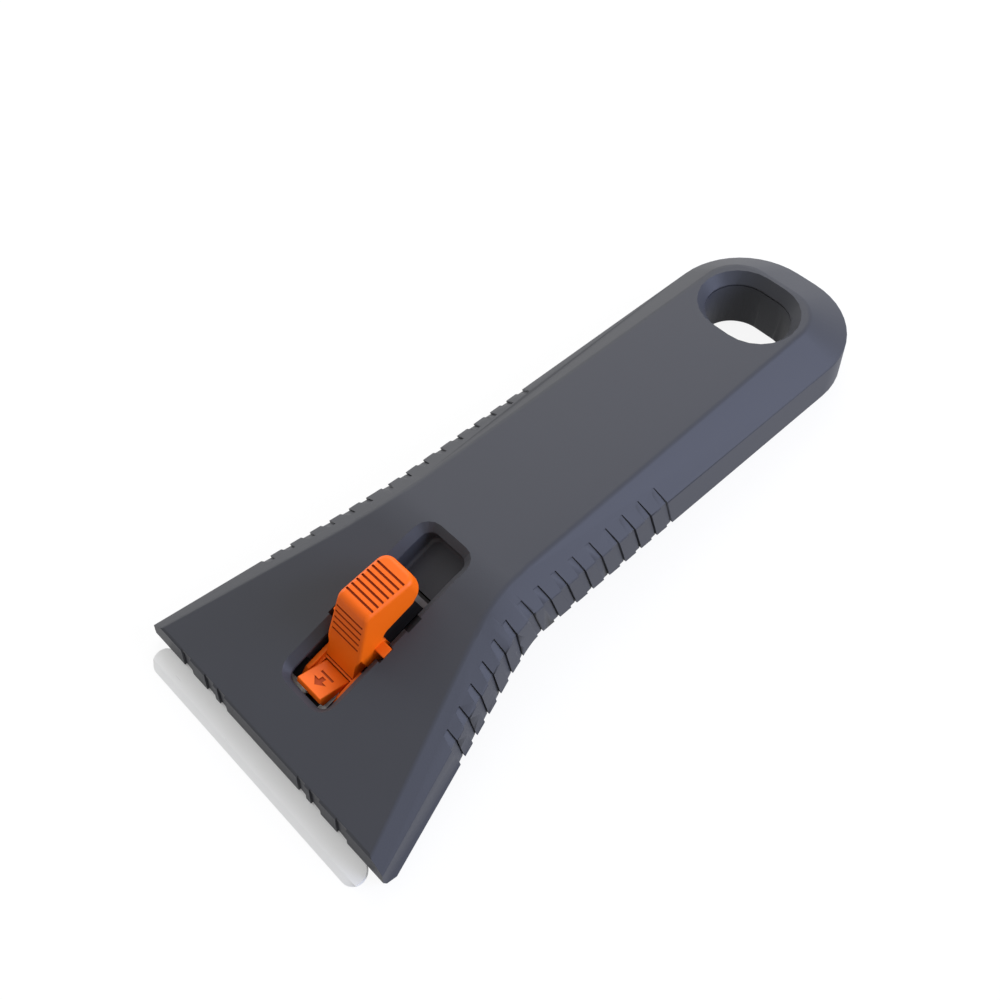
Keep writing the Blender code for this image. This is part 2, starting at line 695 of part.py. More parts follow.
def make_housing(rest, material):
    shell = Shape()
    shell.mirrored_layers(housing_layers())
    housing = make_object("top_housing", shell, rest, material)

    inside = Shape()
    for place in screw_places():
        inside.turned(place, [(SCREW_RADIUS + GAP + BOSS_WALL, -SKIN + OVERLAP),
                              (SCREW_RADIUS + GAP + BOSS_WALL, screw_seat_top(place[1]) + GAP)], on_spine)
    inside.obround([(EYE_MOUTH, -SKIN + OVERLAP), (EYE_RADIUS + EYE_WALL, -EYE_THROAT - GAP)])
    rail_in = CARRIER_HALF + RUNNING_GAP
    guide = ((-GUIDE_REAR, -SKIN + OVERLAP), (-GUIDE_REAR, -GUIDE_DEPTH), (GUIDE_STEP, -GUIDE_DEPTH),
             (GUIDE_STEP, -BLADE_TOP + RUNNING_GAP), (GUIDE_FRONT, -BLADE_TOP + RUNNING_GAP),
             (GUIDE_FRONT, -SKIN + OVERLAP))
    for x0, x1 in ((rail_in, rail_in + RIB), (-rail_in - RIB, -rail_in)):
        rings = [[on_head(x, s, h) for s, h in guide] for x in (x0, x1)]
        inside.loft(rings)
    front_inside = HEAD_FRONT - TOP_FRONT_SET - FRONT_WALL
    for share in BLADE_RIB_shares:
        place = blade_body_half() * share
        for x0, x1 in ((place, place + RIB), (-place - RIB, -place)):
            rib = ((BLADE_RIB_REAR, -SKIN + OVERLAP), (BLADE_RIB_REAR, -BLADE_TOP + RUNNING_GAP),
                   (front_inside + OVERLAP, -BLADE_TOP + RUNNING_GAP),
                   (front_inside + OVERLAP, -SKIN + OVERLAP))
            inside.loft([[on_head(x, s, h) for s, h in rib] for x in (x0, x1)])
    tub = SLOT_HALF + POCKET_WALL
    slot_rear = -SLOT_REAR - slider_shift()
    rear = slot_rear - POCKET_WALL
    base = POCKET_DEPTH + POCKET_FLOOR
    tub_profile = [(POCKET_FRONT, -SKIN + OVERLAP), (rear, -SKIN + OVERLAP)]
    tub_profile += arc_points((rear + TUB_FILLET, -base + TUB_FILLET), TUB_FILLET, 180, 270,
                              CORNER_STEPS)
    tub_profile += [(POCKET_FRONT, -base)]
    inside.loft([[in_head_plane(x, s, h) for s, h in tub_profile] for x in (-tub, tub)])
    boolean(housing, 'UNION', inside, rest, "housing_inside")

    boolean(housing, 'DIFFERENCE', slot_cutter(), rest, "slot_cutter")

    cuts = Shape()
    cuts.loft(pocket_rings(slot_rear))
    for front in (LOCK_FRONT, LOCK_FRONT - TRAVEL):
        low, high = -SKIN - OVERRUN, OVERRUN
        for x0, x1 in ((SLOT_HALF - OVERLAP, LOCK_HALF), (-LOCK_HALF, -SLOT_HALF + OVERLAP)):
            profile = ((front, low), (front, high), (front - LOCK_LENGTH, high), (front - LOCK_LENGTH, low))
            cuts.loft([[in_head_plane(x, s, h) for s, h in profile] for x in (x0, x1)])
    flare = (EYE_MOUTH - EYE_RADIUS) / EYE_THROAT
    cuts.obround([(EYE_MOUTH + flare * OVERRUN, OVERRUN), (EYE_RADIUS, -EYE_THROAT),
                  (EYE_RADIUS, -EYE_THROAT - OVERRUN)])
    for place in screw_places():
        cuts.turned(place, [(SCREW_RADIUS + GAP, -BOSS_ROOF),
                            (SCREW_RADIUS + GAP, screw_seat_top(place[1]) - OVERRUN)], on_spine)
    slit_rear = front_inside - OVERLAP
    slit_front = HEAD_FRONT + LIP_REACH + OVERRUN
    slit_top = -BLADE_TOP + RUNNING_GAP
    slit_low = -FRONT_DEPTH - OVERRUN
    profile = ((slit_rear, slit_top), (slit_front, slit_top), (slit_front, slit_low), (slit_rear, slit_low))
    cuts.loft([[in_head_plane(x, s, h) for s, h in profile] for x in (-slit_half(), slit_half())])
    front_marks(cuts)
    grip_notches(cuts)
    boolean(housing, 'DIFFERENCE', cuts, rest, "housing_cuts")
    return housing


def in_head_plane(x, s, h):
    # A point of the head's flat frame, seen from the handle's.
    along = s + slider_shift()
    return Vector((x, -along * math.cos(HEAD_ANGLE) - h * math.sin(HEAD_ANGLE),
                   -along * math.sin(HEAD_ANGLE) + h * math.cos(HEAD_ANGLE)))


# Base cover
def plate(t):
    return HEAD_PLATE if t < 0.0 else lerp(HEAD_PLATE, HANDLE_PLATE, min(1.0, t / BEND_TANGENT))


def cover_layers():
    inside = HEAD_LENGTH - TOP_FRONT_SET - FRONT_WALL - GAP
    lip_half = slit_half() - GAP
    low = [on_spine(lip_half, -(HEAD_LENGTH - FOOT_SET), -FRONT_DEPTH)]
    high = [on_spine(lip_half, -(HEAD_LENGTH + LOW_LIP_REACH), -LIP_LOW)]
    low.append(on_spine(lip_half, -inside, -depth(-inside)))
    high.append(on_spine(lip_half, -inside, -depth(-inside) + HEAD_PLATE))
    shoulder = inside - RIB
    stations = [Vector((half_width(-shoulder) - HEAD_WALL - GAP, -shoulder))]
    for top, edge, direction in straight_stations() + end_stations():
        stations.append(edge - direction * (wall(edge.y) + GAP))
    for place in stations:
        low.append(on_spine(place.x, place.y, -depth(place.y)))
        high.append(on_spine(place.x, place.y, -depth(place.y) + plate(place.y)))
    return [low, high]


def make_cover(rest, material):
    shell = Shape()
    shell.mirrored_layers(cover_layers())
    cover = make_object("base_cover", shell, rest, material)

    ribs = Shape()
    eye_top = -EYE_THROAT - 2 * GAP
    eye_place = HANDLE_LENGTH - EYE_SET
    eye_low = -depth(eye_place) + OVERLAP
    ribs.obround([(EYE_RADIUS + EYE_WALL, eye_top), (EYE_RADIUS + EYE_WALL, eye_low)])
    for place in screw_places():
        ribs.turned(place, [(SCREW_CAP_RADIUS + GAP + SCREW_SEAT_WALL, screw_seat_top(place[1])),
                            (SCREW_CAP_RADIUS + GAP + SCREW_SEAT_WALL, -depth(place[1]) + OVERLAP)],
                    on_spine)
    inside = HEAD_FRONT - TOP_FRONT_SET - FRONT_WALL - GAP
    for share in COVER_RIB_shares:
        place = blade_body_half() * share
        profile = rib_profile(BLADE_RIB_REAR, inside - RIB, -BLADE_TOP - BLADE_THICK - RUNNING_GAP)
        for x0, x1 in ((place, place + RIB), (-place - RIB, -place)):
            ribs.loft([[in_head_plane(x, s, h) for s, h in profile] for x in (x0, x1)])
    deck_low = -DECK_TOP - DECK_THICK - RUNNING_GAP
    floor_low = carrier_floor_top() - FLOOR_THICK - RUNNING_GAP
    rails = (rib_profile(BEND_TANGENT, DECK_FRONT - DECK_TAPER - RIB, deck_low),
             rib_profile(DECK_FRONT + DECK_NOSE_THICK + RUNNING_GAP, FLOOR_FRONT - RIB, floor_low))
    for profile in rails:
        for x0, x1 in ((RAIL_PLACE, RAIL_PLACE + RIB), (-RAIL_PLACE - RIB, -RAIL_PLACE)):
            ribs.loft([[in_head_plane(x, s, h) for s, h in profile] for x in (x0, x1)])
    for share in HANDLE_RIB_shares:
        place = HANDLE_LENGTH * share
        half = half_width(place) - HANDLE_WALL - 2 * RIB
        low = -depth(place) + OVERLAP
        high = -chamfer_drop(place) - HANDLE_WALL - RIB
        rings = []
        for x in (-half, half):
            rings.append([Vector((x, place, low)), Vector((x, place + RIB, low)),
                          Vector((x, place + RIB, high)), Vector((x, place, high))])
        ribs.loft(rings)
    boolean(cover, 'UNION', ribs, rest, "cover_ribs")

    cuts = Shape()
    low = -depth(eye_place + EYE_MOUTH) - OVERRUN
    cuts.obround([(EYE_RADIUS, eye_top + OVERRUN), (EYE_RADIUS, low)])
    for place in screw_places():
        seat = -depth(place[1]) + SCREW_SEAT
        wide = SCREW_CAP_RADIUS + GAP
        narrow = SCREW_RADIUS + GAP
        cuts.turned(place, [(narrow, screw_seat_top(place[1]) + OVERRUN), (narrow, seat), (wide, seat),
                            (wide, -depth(place[1]) - OVERRUN)], on_spine)
    boolean(cover, 'DIFFERENCE', cuts, rest, "cover_cuts")
    return cover


def rib_profile(rear, front, top):
    # A rib that stands on the sloping plate of the head, in (s, h).
    low_rear = -depth(-rear - slider_shift()) + OVERLAP
    low_front = -depth(-front - slider_shift()) + OVERLAP
    return ((rear, low_rear), (front, low_front), (front, top), (rear, top))


def make_screws(rest, material):
    for k, place in enumerate(screw_places()):
        shape = Shape()
        seat = -depth(place[1]) + SCREW_SEAT - GAP
        shape.turned(place, [(SCREW_RADIUS, -BOSS_ROOF - GAP), (SCREW_RADIUS, seat),
                             (SCREW_CAP_RADIUS, seat), (SCREW_CAP_RADIUS, seat - SCREW_CAP_HEIGHT)],
                     on_spine)
        make_object(f"cover_screw_{k + 1}", shape, rest, material)


# Blade and its carrier
def blade_outline():
    radius = BLADE_BAR / 2
    centre = (blade_half() - radius, BLADE_EDGE - radius)
    arc = [(centre[0] + radius * math.cos(a), centre[1] + radius * math.sin(a))
           for a in [math.pi / 2 - math.pi * k / ARC_STEPS for k in range(ARC_STEPS + 1)]]
    body = blade_body_half()
    return arc + [(body, BLADE_EDGE - BLADE_BAR), (body, BLADE_BODY_REAR),
                  (BLADE_TANG_HALF, BLADE_BODY_REAR), (BLADE_TANG_HALF, BLADE_TANG_REAR)]


def make_blade(carrier, material):
    # Both faces are drawn back from the cutting edge, which lies between them.
    right = blade_outline()
    outline = right + [(-x, s) for x, s in reversed(right)]
    top = [in_head(x, s, -BLADE_TOP) for x, s in outline]
    low = [in_head(x, s, -BLADE_TOP - BLADE_THICK) for x, s in outline]
    half = -BLADE_TOP - BLADE_THICK / 2
    edge = [in_head(x, s, half) for x, s in outline]
    straight = BLADE_EDGE - BLADE_BEVEL
    for ring in (top, low):
        for k, (x, s) in enumerate(outline):
            if s > straight:
                ring[k] = in_head(x, straight, ring[k].z)
    shape = Shape()
    shape.loft([top, edge, low])
    blade = make_object("ceramic_blade", shape, carrier, material)
    hole = Shape()
    hole.block(-BLADE_HOLE_HALF, BLADE_HOLE_HALF, BLADE_HOLE_REAR, BLADE_HOLE_FRONT,
               -BLADE_TOP - BLADE_THICK - OVERRUN, -BLADE_TOP + OVERRUN)
    boolean(blade, 'DIFFERENCE', hole, carrier, "blade_hole")
    return blade


def carrier_floor_top():
    return -BLADE_TOP - BLADE_THICK - GAP


def make_carrier(carrier, material):
    shape = Shape()
    floor = carrier_floor_top()
    profile = ((DECK_REAR, -DECK_TOP), (DECK_FRONT - OVERLAP, -DECK_TOP), (DECK_FRONT - OVERLAP, floor),
               (FLOOR_FRONT, floor), (FLOOR_FRONT, floor - FLOOR_THICK),
               (DECK_FRONT + DECK_NOSE_THICK, floor - FLOOR_THICK),
               (DECK_FRONT, -DECK_TOP - DECK_NOSE_THICK),
               (DECK_FRONT - DECK_TAPER, -DECK_TOP - DECK_THICK), (DECK_REAR, -DECK_TOP - DECK_THICK))
    shape.bar(profile, -CARRIER_HALF, CARRIER_HALF)
    made = make_object("blade_carrier", shape, carrier, material)
    cheeks = Shape()
    inner = CARRIER_HALF - CARRIER_WALL
    top = -SKIN - RUNNING_GAP
    window = -LUG_THICK - PRESS_TRAVEL - RUNNING_GAP
    low = -DECK_TOP - OVERLAP
    window_rear = LUG_REAR - 2 * RUNNING_GAP
    window_front = LUG_FRONT + 2 * RUNNING_GAP
    cheek = ((CHEEK_REAR, low), (CHEEK_REAR, top), (window_rear, top), (window_rear, window),
             (window_front, window), (window_front, top), (FRAME_SEAT_FRONT, top),
             (FRAME_SEAT_FRONT, low))
    for x0, x1 in ((inner, CARRIER_HALF), (-CARRIER_HALF, -inner)):
        cheeks.bar(cheek, x0, x1)
    boolean(made, 'UNION', cheeks, carrier, "carrier_cheeks")
    window_cut = Shape()
    window_cut.block(-HOOK_WINDOW_HALF, HOOK_WINDOW_HALF, HOOK_WINDOW_REAR, FLOOR_FRONT + OVERRUN,
                     floor - FLOOR_THICK - OVERRUN, floor + OVERRUN)
    boolean(made, 'DIFFERENCE', window_cut, carrier, "carrier_window")
    return made


def make_spring(carrier, material):
    # A bent strip on the deck whose raised leaf meets the button from below.
    sheet = SPRING_SHEET
    low = -DECK_TOP + GAP
    tip = -FOOT_DEPTH - GAP - sheet
    profile = ((SPRING_REAR, low), (SPRING_FOLD, low), (SPRING_TIP, tip), (SPRING_TIP, tip + sheet),
               (SPRING_FOLD, low + sheet), (SPRING_REAR, low + sheet))
    shape = Shape()
    shape.bar(profile, -SPRING_HALF, SPRING_HALF)
    made = make_object("lock_spring", shape, carrier, material)
    bar = Shape()
    bar.block(-SPRING_BAR_HALF, SPRING_BAR_HALF, SPRING_REAR - SPRING_BAR_LIP, SPRING_REAR + SPRING_BAR,
              low - SPRING_BAR_LIP, low + sheet + SPRING_BAR_LIP)
    boolean(made, 'UNION', bar, carrier, "spring_bar")
    return made


def make_frame(carrier, material):
    # Two rails beside the tongue, joined by a seat between the carrier's cheeks.
    low = -BLADE_TOP + GAP
    seat_low = -DECK_TOP + GAP
    inner = FRAME_HALF - FRAME_WALL
    shape = Shape()
    seat = ((FRAME_SEAT_REAR, seat_low), (FRAME_SEAT_FRONT, seat_low),
            (FRAME_SEAT_FRONT, -TONGUE_HINGE_DEPTH - TONGUE_ROOT_THICK - GAP),
            (FRAME_SEAT_REAR, -TONGUE_HINGE_DEPTH - TONGUE_ROOT_THICK - GAP))
    shape.bar(seat, -FRAME_HALF, FRAME_HALF)
    made = make_object("slider_frame", shape, carrier, material)
    rails = Shape()
    rail = ((FRAME_REAR, low), (FRAME_REAR, -FRAME_TOP), (FRAME_FRONT, -FRAME_TOP), (FRAME_FRONT, low),
            (FRAME_SEAT_FRONT - OVERLAP, low), (FRAME_SEAT_FRONT - OVERLAP, seat_low + OVERLAP),
            (FRAME_SEAT_REAR + OVERLAP, seat_low + OVERLAP), (FRAME_SEAT_REAR + OVERLAP, low))
    outer = FRAME_HALF - FRAME_RAIL_SET
    for x0, x1 in ((inner, outer), (-outer, -inner)):
        rails.bar(rail, x0, x1)
    boolean(made, 'UNION', rails, carrier, "frame_rails")
    return made


# Thumb button
def ridge_geometry():
    rear = Vector((BUTTON_REAR + BUTTON_REAR_ROUND, BUTTON_REAR_TOP))
    ridge = Vector((RIDGE_PLACE, RIDGE_HEIGHT))
    foot = Vector((FACE_FOOT_PLACE, -FACE_FOOT_DEPTH))
    return rear, ridge, foot


def round_corner(before, corner, after, radius, steps):
    # Points of an arc that rounds a convex corner of a profile.
    a = (before - corner).normalized()
    b = (after - corner).normalized()
    half = math.acos(max(-1.0, min(1.0, a.dot(b)))) / 2
    reach = radius / math.tan(half)
    start = corner + a * reach
    end = corner + b * reach
    centre = corner + (a + b).normalized() * (radius / math.sin(half))
    points = []
    for k in range(steps + 1):
        mix = (start - centre).lerp(end - centre, k / steps)
        points.append(centre + mix.normalized() * radius)
    return points


def button_profile():
    rear, ridge, foot = ridge_geometry()
    points = []
    shelf_rear = Vector((SHELF_REAR, SHELF_HEIGHT))
    tail = Vector((BUTTON_REAR, SHELF_TAIL_HEIGHT + BUTTON_REAR_ROUND))
    points += round_corner(tail, Vector((BUTTON_REAR, BUTTON_REAR_TOP)), ridge, BUTTON_REAR_ROUND, 3)
    points += round_corner(rear, ridge, foot, RIDGE_ROUND, 5)
    points += [foot, Vector((FACE_FOOT_PLACE, -FOOT_DEPTH)), Vector((FOOT_REAR, -FOOT_DEPTH))]
    centre = (FOOT_REAR - SHELF_FILLET, SHELF_HEIGHT - SHELF_FILLET)
    points += [Vector(p) for p in arc_points(centre, SHELF_FILLET, 0, 90, 4)]
    points += round_corner(Vector((FOOT_REAR - SHELF_FILLET, SHELF_HEIGHT)), shelf_rear, tail,
                           SHELF_FILLET, 2)
    points.append(tail)
    return [(p[0], p[1]) for p in points]


def inset(profile, distance):
    # The profile drawn in by one distance; it runs clockwise in (s, h).
    points = []
    count = len(profile)
    for k in range(count):
        here = Vector(profile[k])
        before = (here - Vector(profile[k - 1])).normalized()
        after = (Vector(profile[(k + 1) % count]) - here).normalized()
        inward = Vector((before.y + after.y, -before.x - after.x))
        reach = distance / max(MITER_share, (1.0 + before.dot(after)) / 2) ** 0.5
        moved = here + inward.normalized() * reach
        points.append((moved.x, moved.y))
    return points


def drawn_in(profile, pull):
    # The slab behind the ridge, shortened by pull at its rear end.
    length = RIDGE_PLACE - BUTTON_REAR
    rise = (RIDGE_HEIGHT - BUTTON_REAR_TOP) / length
    points = []
    for s, h in profile:
        shift = pull * max(0.0, RIDGE_PLACE - s) / length
        points.append((s + shift, h + shift * rise if h > SHELF_TAIL_HEIGHT else h))
    return points


def button_width(h):
    return lerp(BUTTON_HALF, BUTTON_TOP_HALF, h / RIDGE_HEIGHT)


def groove_box(shape, place, slope, half):
    # A groove across a sloping face, cut square to it.
    along = Vector((math.cos(slope), math.sin(slope)))
    out = Vector((-along.y, along.x))
    corners = (place - along * GROOVE_WIDTH / 2 - out * GROOVE_DEPTH,
               place + along * GROOVE_WIDTH / 2 - out * GROOVE_DEPTH,
               place + along * GROOVE_WIDTH / 2 + out * GROOVE_DEPTH,
               place - along * GROOVE_WIDTH / 2 + out * GROOVE_DEPTH)
    shape.bar([(c.x, c.y) for c in corners], -half, half)


def make_button(button, material):
    shape = Shape()
    profile = button_profile()
    edge_angles = [math.pi / 2 * k / BUTTON_EDGE_STEPS for k in range(BUTTON_EDGE_STEPS + 1)]
    steps = [(BUTTON_EDGE_ROUND * (1.0 - math.cos(a)), BUTTON_EDGE_ROUND * (1.0 - math.sin(a)))
             for a in edge_angles]
    steps += [(BUTTON_CORNER * share, 0.0) for share in BUTTON_CORNER_shares]
    rings = []
    for side, ordered in ((-1, steps), (1, steps[::-1])):
        for narrower, drawn in ordered:
            pull = BUTTON_CORNER - math.sqrt(BUTTON_CORNER ** 2 - (BUTTON_CORNER - narrower) ** 2)
            shorter = drawn_in(profile, pull)
            # The foot keeps its height.
            ring = [(s, full if full < -GAP else h)
                    for (_, full), (s, h) in zip(shorter, inset(shorter, drawn))]
            rings.append([in_head(side * (button_width(h) - narrower), s, h) for s, h in ring])
    shape.loft(rings)
    made = make_object("thumb_button", shape, button, material)
    rear, ridge, foot = ridge_geometry()
    cuts = Shape()
    top_slope = math.atan2(ridge.y - rear.y, ridge.x - rear.x)
    for k in range(TOP_GROOVES):
        s = TOP_GROOVE_FIRST - TOP_GROOVE_PITCH * k
        height = lerp(rear.y, ridge.y, (s - rear.x) / (ridge.x - rear.x))
        groove_box(cuts, Vector((s, height)), top_slope, TOP_GROOVE_HALF)
    face_slope = math.atan2(foot.y - ridge.y, foot.x - ridge.x)
    for k in range(FACE_GROOVES):
        s = FACE_GROOVE_FIRST + FACE_GROOVE_PITCH * k
        height = lerp(ridge.y, foot.y, (s - ridge.x) / (foot.x - ridge.x))
        groove_box(cuts, Vector((s, height)), face_slope, FACE_GROOVE_HALF)
    cuts.block(-LUG_HALF, LUG_HALF, LUG_REAR - GAP, LUG_FRONT + GAP, -LUG_THICK - GAP, GAP)
    for x0, x1 in ((FOOT_NECK_HALF, LUG_HALF), (-LUG_HALF, -FOOT_NECK_HALF)):
        cuts.block(x0, x1, FOOT_NECK_REAR, FACE_FOOT_PLACE + OVERRUN, -FOOT_DEPTH - OVERRUN, OVERRUN)
    boolean(made, 'DIFFERENCE', cuts, button, "button_cuts")
    return made


def make_lugs(button, material):
    shape = Shape()
    shape.block(-LUG_HALF, LUG_HALF, LUG_REAR, LUG_FRONT, -LUG_THICK, 0.0)
    return make_object("lock_lugs", shape, button, material)


# Release tongue, in a frame whose origin lies on its hinge
def make_tongue(tongue, material):
    def local(s, h):
        return (s - TONGUE_HINGE, h + TONGUE_HINGE_DEPTH)

    nose = TONGUE_TIP + TONGUE_NOSE_STEP
    bottom = -TONGUE_HINGE_DEPTH - TONGUE_ROOT_THICK
    under = -TONGUE_TIP_DEPTH - TONGUE_SIDE
    hook_rear = (BLADE_HOLE_REAR + BLADE_HOLE_FRONT - HOOK_LENGTH) / 2
    profile = [local(*p) for p in (
        (TONGUE_HINGE - GAP, bottom), (TONGUE_HINGE - GAP, -TONGUE_ROOT_DEPTH),
        (TONGUE_TIP, -TONGUE_TIP_DEPTH), (nose, -TONGUE_NOSE_DEPTH), (nose, under),
        (hook_rear, under), (BLADE_TANG_REAR, -BLADE_TOP + GAP), (FRAME_SEAT_FRONT, bottom))]
    shape = Shape()
    shape.bar(profile, -TONGUE_HALF, TONGUE_HALF)
    made = make_object("release_tongue", shape, tongue, material)
    hook = Shape()
    hook_profile = [local(*p) for p in (
        (hook_rear, -HOOK_DEPTH), (hook_rear, under + OVERLAP), (hook_rear + HOOK_LENGTH, under + OVERLAP),
        (hook_rear + HOOK_LENGTH, -HOOK_DEPTH))]
    hook.bar(hook_profile, -HOOK_HALF, HOOK_HALF)
    boolean(made, 'UNION', hook, tongue, "tongue_hook")
    return made


def resting_pose():
    # The tool lies on the front foot of its head and on the end of its handle.
    front = on_spine(0.0, -(HEAD_LENGTH - FOOT_SET), -FRONT_DEPTH)
    end = on_spine(0.0, HANDLE_LENGTH, -END_DEPTH)
    tilt = -math.atan2(end.z - front.z, end.y - front.y)
    cos_tilt, sin_tilt = math.cos(tilt), math.sin(tilt)
    floor = front.y * sin_tilt + front.z * cos_tilt
    edge = on_head(0.0, BLADE_EDGE, -BLADE_TOP - BLADE_THICK / 2)
    back = on_spine(0.0, HANDLE_LENGTH, -END_DROP)
    near = edge.y * cos_tilt - edge.z * sin_tilt
    far = back.y * cos_tilt - back.z * sin_tilt
    return tilt, (0.0, -(near + far) / 2, -floor)


def main():
    clear_scene()
    graphite = make_material("graphite_plastic", (0.075, 0.078, 0.085), 0.55)
    dark = make_material("black_plastic", (0.03, 0.03, 0.032), 0.5)
    orange = make_material("orange_plastic", (0.87, 0.13, 0.012), 0.4)
    ceramic = make_material("white_ceramic", (0.75, 0.75, 0.74), 0.25)
    steel = make_material("spring_steel", (0.55, 0.56, 0.57), 0.3, 1.0)

    tilt, place = resting_pose()
    rest = make_empty("resting_frame", None, place, tilt)
    head = make_empty("head_frame", rest, tilt=HEAD_ANGLE)
    carrier = make_empty("slider_frame_origin", head, (0.0, -slider_shift(), 0.0))
    button = make_empty("button_origin", carrier)
    tongue = make_empty("tongue_hinge", carrier, in_head(0.0, TONGUE_HINGE, -TONGUE_HINGE_DEPTH))

    make_housing(rest, graphite)
    make_cover(rest, dark)
    make_screws(rest, steel)
    make_blade(carrier, ceramic)
    make_carrier(carrier, dark)
    make_spring(carrier, steel)
    make_frame(carrier, orange)
    make_button(button, orange)
    make_lugs(button, orange)
    make_tongue(tongue, orange)


main()
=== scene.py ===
import json
import math

import bpy
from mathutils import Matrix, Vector


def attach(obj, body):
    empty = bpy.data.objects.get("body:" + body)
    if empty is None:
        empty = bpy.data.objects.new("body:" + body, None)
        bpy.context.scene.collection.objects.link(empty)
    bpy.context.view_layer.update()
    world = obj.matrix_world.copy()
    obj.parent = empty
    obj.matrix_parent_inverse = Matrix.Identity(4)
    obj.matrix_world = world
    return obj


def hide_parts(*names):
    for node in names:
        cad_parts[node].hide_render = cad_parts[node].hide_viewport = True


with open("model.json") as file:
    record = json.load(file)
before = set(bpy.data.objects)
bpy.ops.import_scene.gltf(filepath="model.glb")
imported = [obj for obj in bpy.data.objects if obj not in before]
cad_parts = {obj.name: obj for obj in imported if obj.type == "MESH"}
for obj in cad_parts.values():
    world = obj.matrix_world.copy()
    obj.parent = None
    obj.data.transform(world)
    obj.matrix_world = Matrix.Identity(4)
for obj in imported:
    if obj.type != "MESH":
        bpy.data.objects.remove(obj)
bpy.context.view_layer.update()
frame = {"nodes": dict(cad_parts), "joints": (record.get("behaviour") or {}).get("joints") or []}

mm = 0.001   # the sizes of the pieces are in millimetres

# The head's own axes, from the joints: x across, s towards the blade, h out of the head's top
hingeOnHead = {"s": 31.6, "h": -5.3}
joints = {joint["name"]: joint for joint in frame["joints"]}
backwards = Vector(joints["slider_travel"]["axis"])
outwards = -Vector(joints["button_press"]["axis"])
hinge = Vector(joints["release_tongue_hinge"]["pos_m"])
headOrigin = hinge + backwards * hingeOnHead["s"] * mm - outwards * hingeOnHead["h"] * mm


def headPoint(x, s, h):
    # Millimetres on the head to a point of the scene.
    return headOrigin + Vector((x * mm, 0, 0)) - backwards * s * mm + outwards * h * mm


def onHead(point):
    # A point of the scene as millimetres on the head.
    away = point - headOrigin
    return away.x / mm, -away.dot(backwards) / mm, away.dot(outwards) / mm


# Modelling helpers, with the fine limits that all pieces share
modelling = {
    "mergeGap": 0.002,     # points of a node's copy that are nearer than this are one
    "flatAngle": 0.4,      # degrees, up to which its triangles make one flat face
    "sliver": 0.004,       # faces narrower than this are merged away
    "roundFrom": 30,       # degrees, past which an edge is rounded
    "smoothTo": 32,        # degrees, up to which an edge is shaded smooth
    "faceWeight": 100}     # how far the large faces rule the shading


def deselectAll():
    if bpy.context.mode != "OBJECT":
        bpy.ops.object.mode_set(mode="OBJECT")
    bpy.ops.object.select_all(action="DESELECT")


def makeActive(piece):
    deselectAll()
    piece.select_set(True)
    bpy.context.view_layer.objects.active = piece


def editMesh(piece, selectMode, action):
    makeActive(piece)
    bpy.ops.object.mode_set(mode="EDIT")
    bpy.ops.mesh.select_mode(type=selectMode)
    bpy.ops.mesh.select_all(action=action)


def selectEdges(piece, wanted, sharpness=0):
    # Selects the edges, of those sharper than some degrees, whose two ends pass the test.
    editMesh(piece, "EDGE", "DESELECT")
    bpy.ops.mesh.edges_select_sharp(sharpness=math.radians(sharpness))
    bpy.ops.object.mode_set(mode="OBJECT")
    mesh = piece.data
    sharp = {edge.index for edge in mesh.edges if edge.select or not sharpness}
    editMesh(piece, "EDGE", "DESELECT")
    bpy.ops.object.mode_set(mode="OBJECT")
    for edge in mesh.edges:
        a, b = (onHead(mesh.vertices[k].co) for k in edge.vertices)
        edge.select = edge.index in sharp and wanted(a, b)
    bpy.ops.object.mode_set(mode="EDIT")


def pointOutwards():
    # Turns the faces of the mesh that is being edited outwards, and ends the edit.
    bpy.ops.mesh.select_all(action="SELECT")
    bpy.ops.mesh.normals_make_consistent(inside=False)
    bpy.ops.object.mode_set(mode="OBJECT")


def drawProfile(name, points, reach):
    # Draws a closed outline point by point from one vertex, fills it and extrudes it by the reach.
    deselectAll()
    bpy.ops.mesh.primitive_plane_add(size=mm, location=points[0])
    piece = bpy.context.object
    piece.name = name
    bpy.ops.object.transform_apply(location=True, rotation=True, scale=True)
    editMesh(piece, "VERT", "SELECT")
    bpy.ops.mesh.merge(type="CENTER")
    for here, there in zip(points, points[1:]):
        bpy.ops.mesh.extrude_region_move(TRANSFORM_OT_translate={"value": there - here})
    bpy.ops.mesh.select_all(action="SELECT")
    bpy.ops.mesh.edge_face_add()
    bpy.ops.mesh.extrude_region_move(TRANSFORM_OT_translate={"value": reach})
    pointOutwards()
    return piece


def drawAcross(name, outline, left, right):
    # Draws an outline of the head's side view, from one place across the head to another.
    return drawProfile(name, [headPoint(left, s, h) for s, h in outline],
                       Vector(((right - left) * mm, 0, 0)))


def oblong(rear, front, low, top):
    # The corners of an oblong in the head's side view.
    return [(rear, low), (rear, top), (front, top), (front, low)]


def roundEdges(piece, width, steps):
    # Rounds the sharp edges, as the mould's cutter leaves them.
    makeActive(piece)
    bevel = piece.modifiers.new("edges", "BEVEL")
    bevel.width = width * mm
    bevel.segments = steps
    bevel.limit_method = "ANGLE"
    bevel.angle_limit = math.radians(modelling["roundFrom"])
    bevel.use_clamp_overlap = False
    bpy.ops.object.modifier_apply(modifier="edges")


def cut(piece, tool, operation="DIFFERENCE"):
    # Cuts with the tool, or joins it on, and uses it up.
    makeActive(piece)
    boolean = piece.modifiers.new("cut", "BOOLEAN")
    boolean.operation = operation
    boolean.solver = "EXACT"
    boolean.object = tool
    bpy.ops.object.modifier_apply(modifier="cut")
    bpy.data.objects.remove(tool)


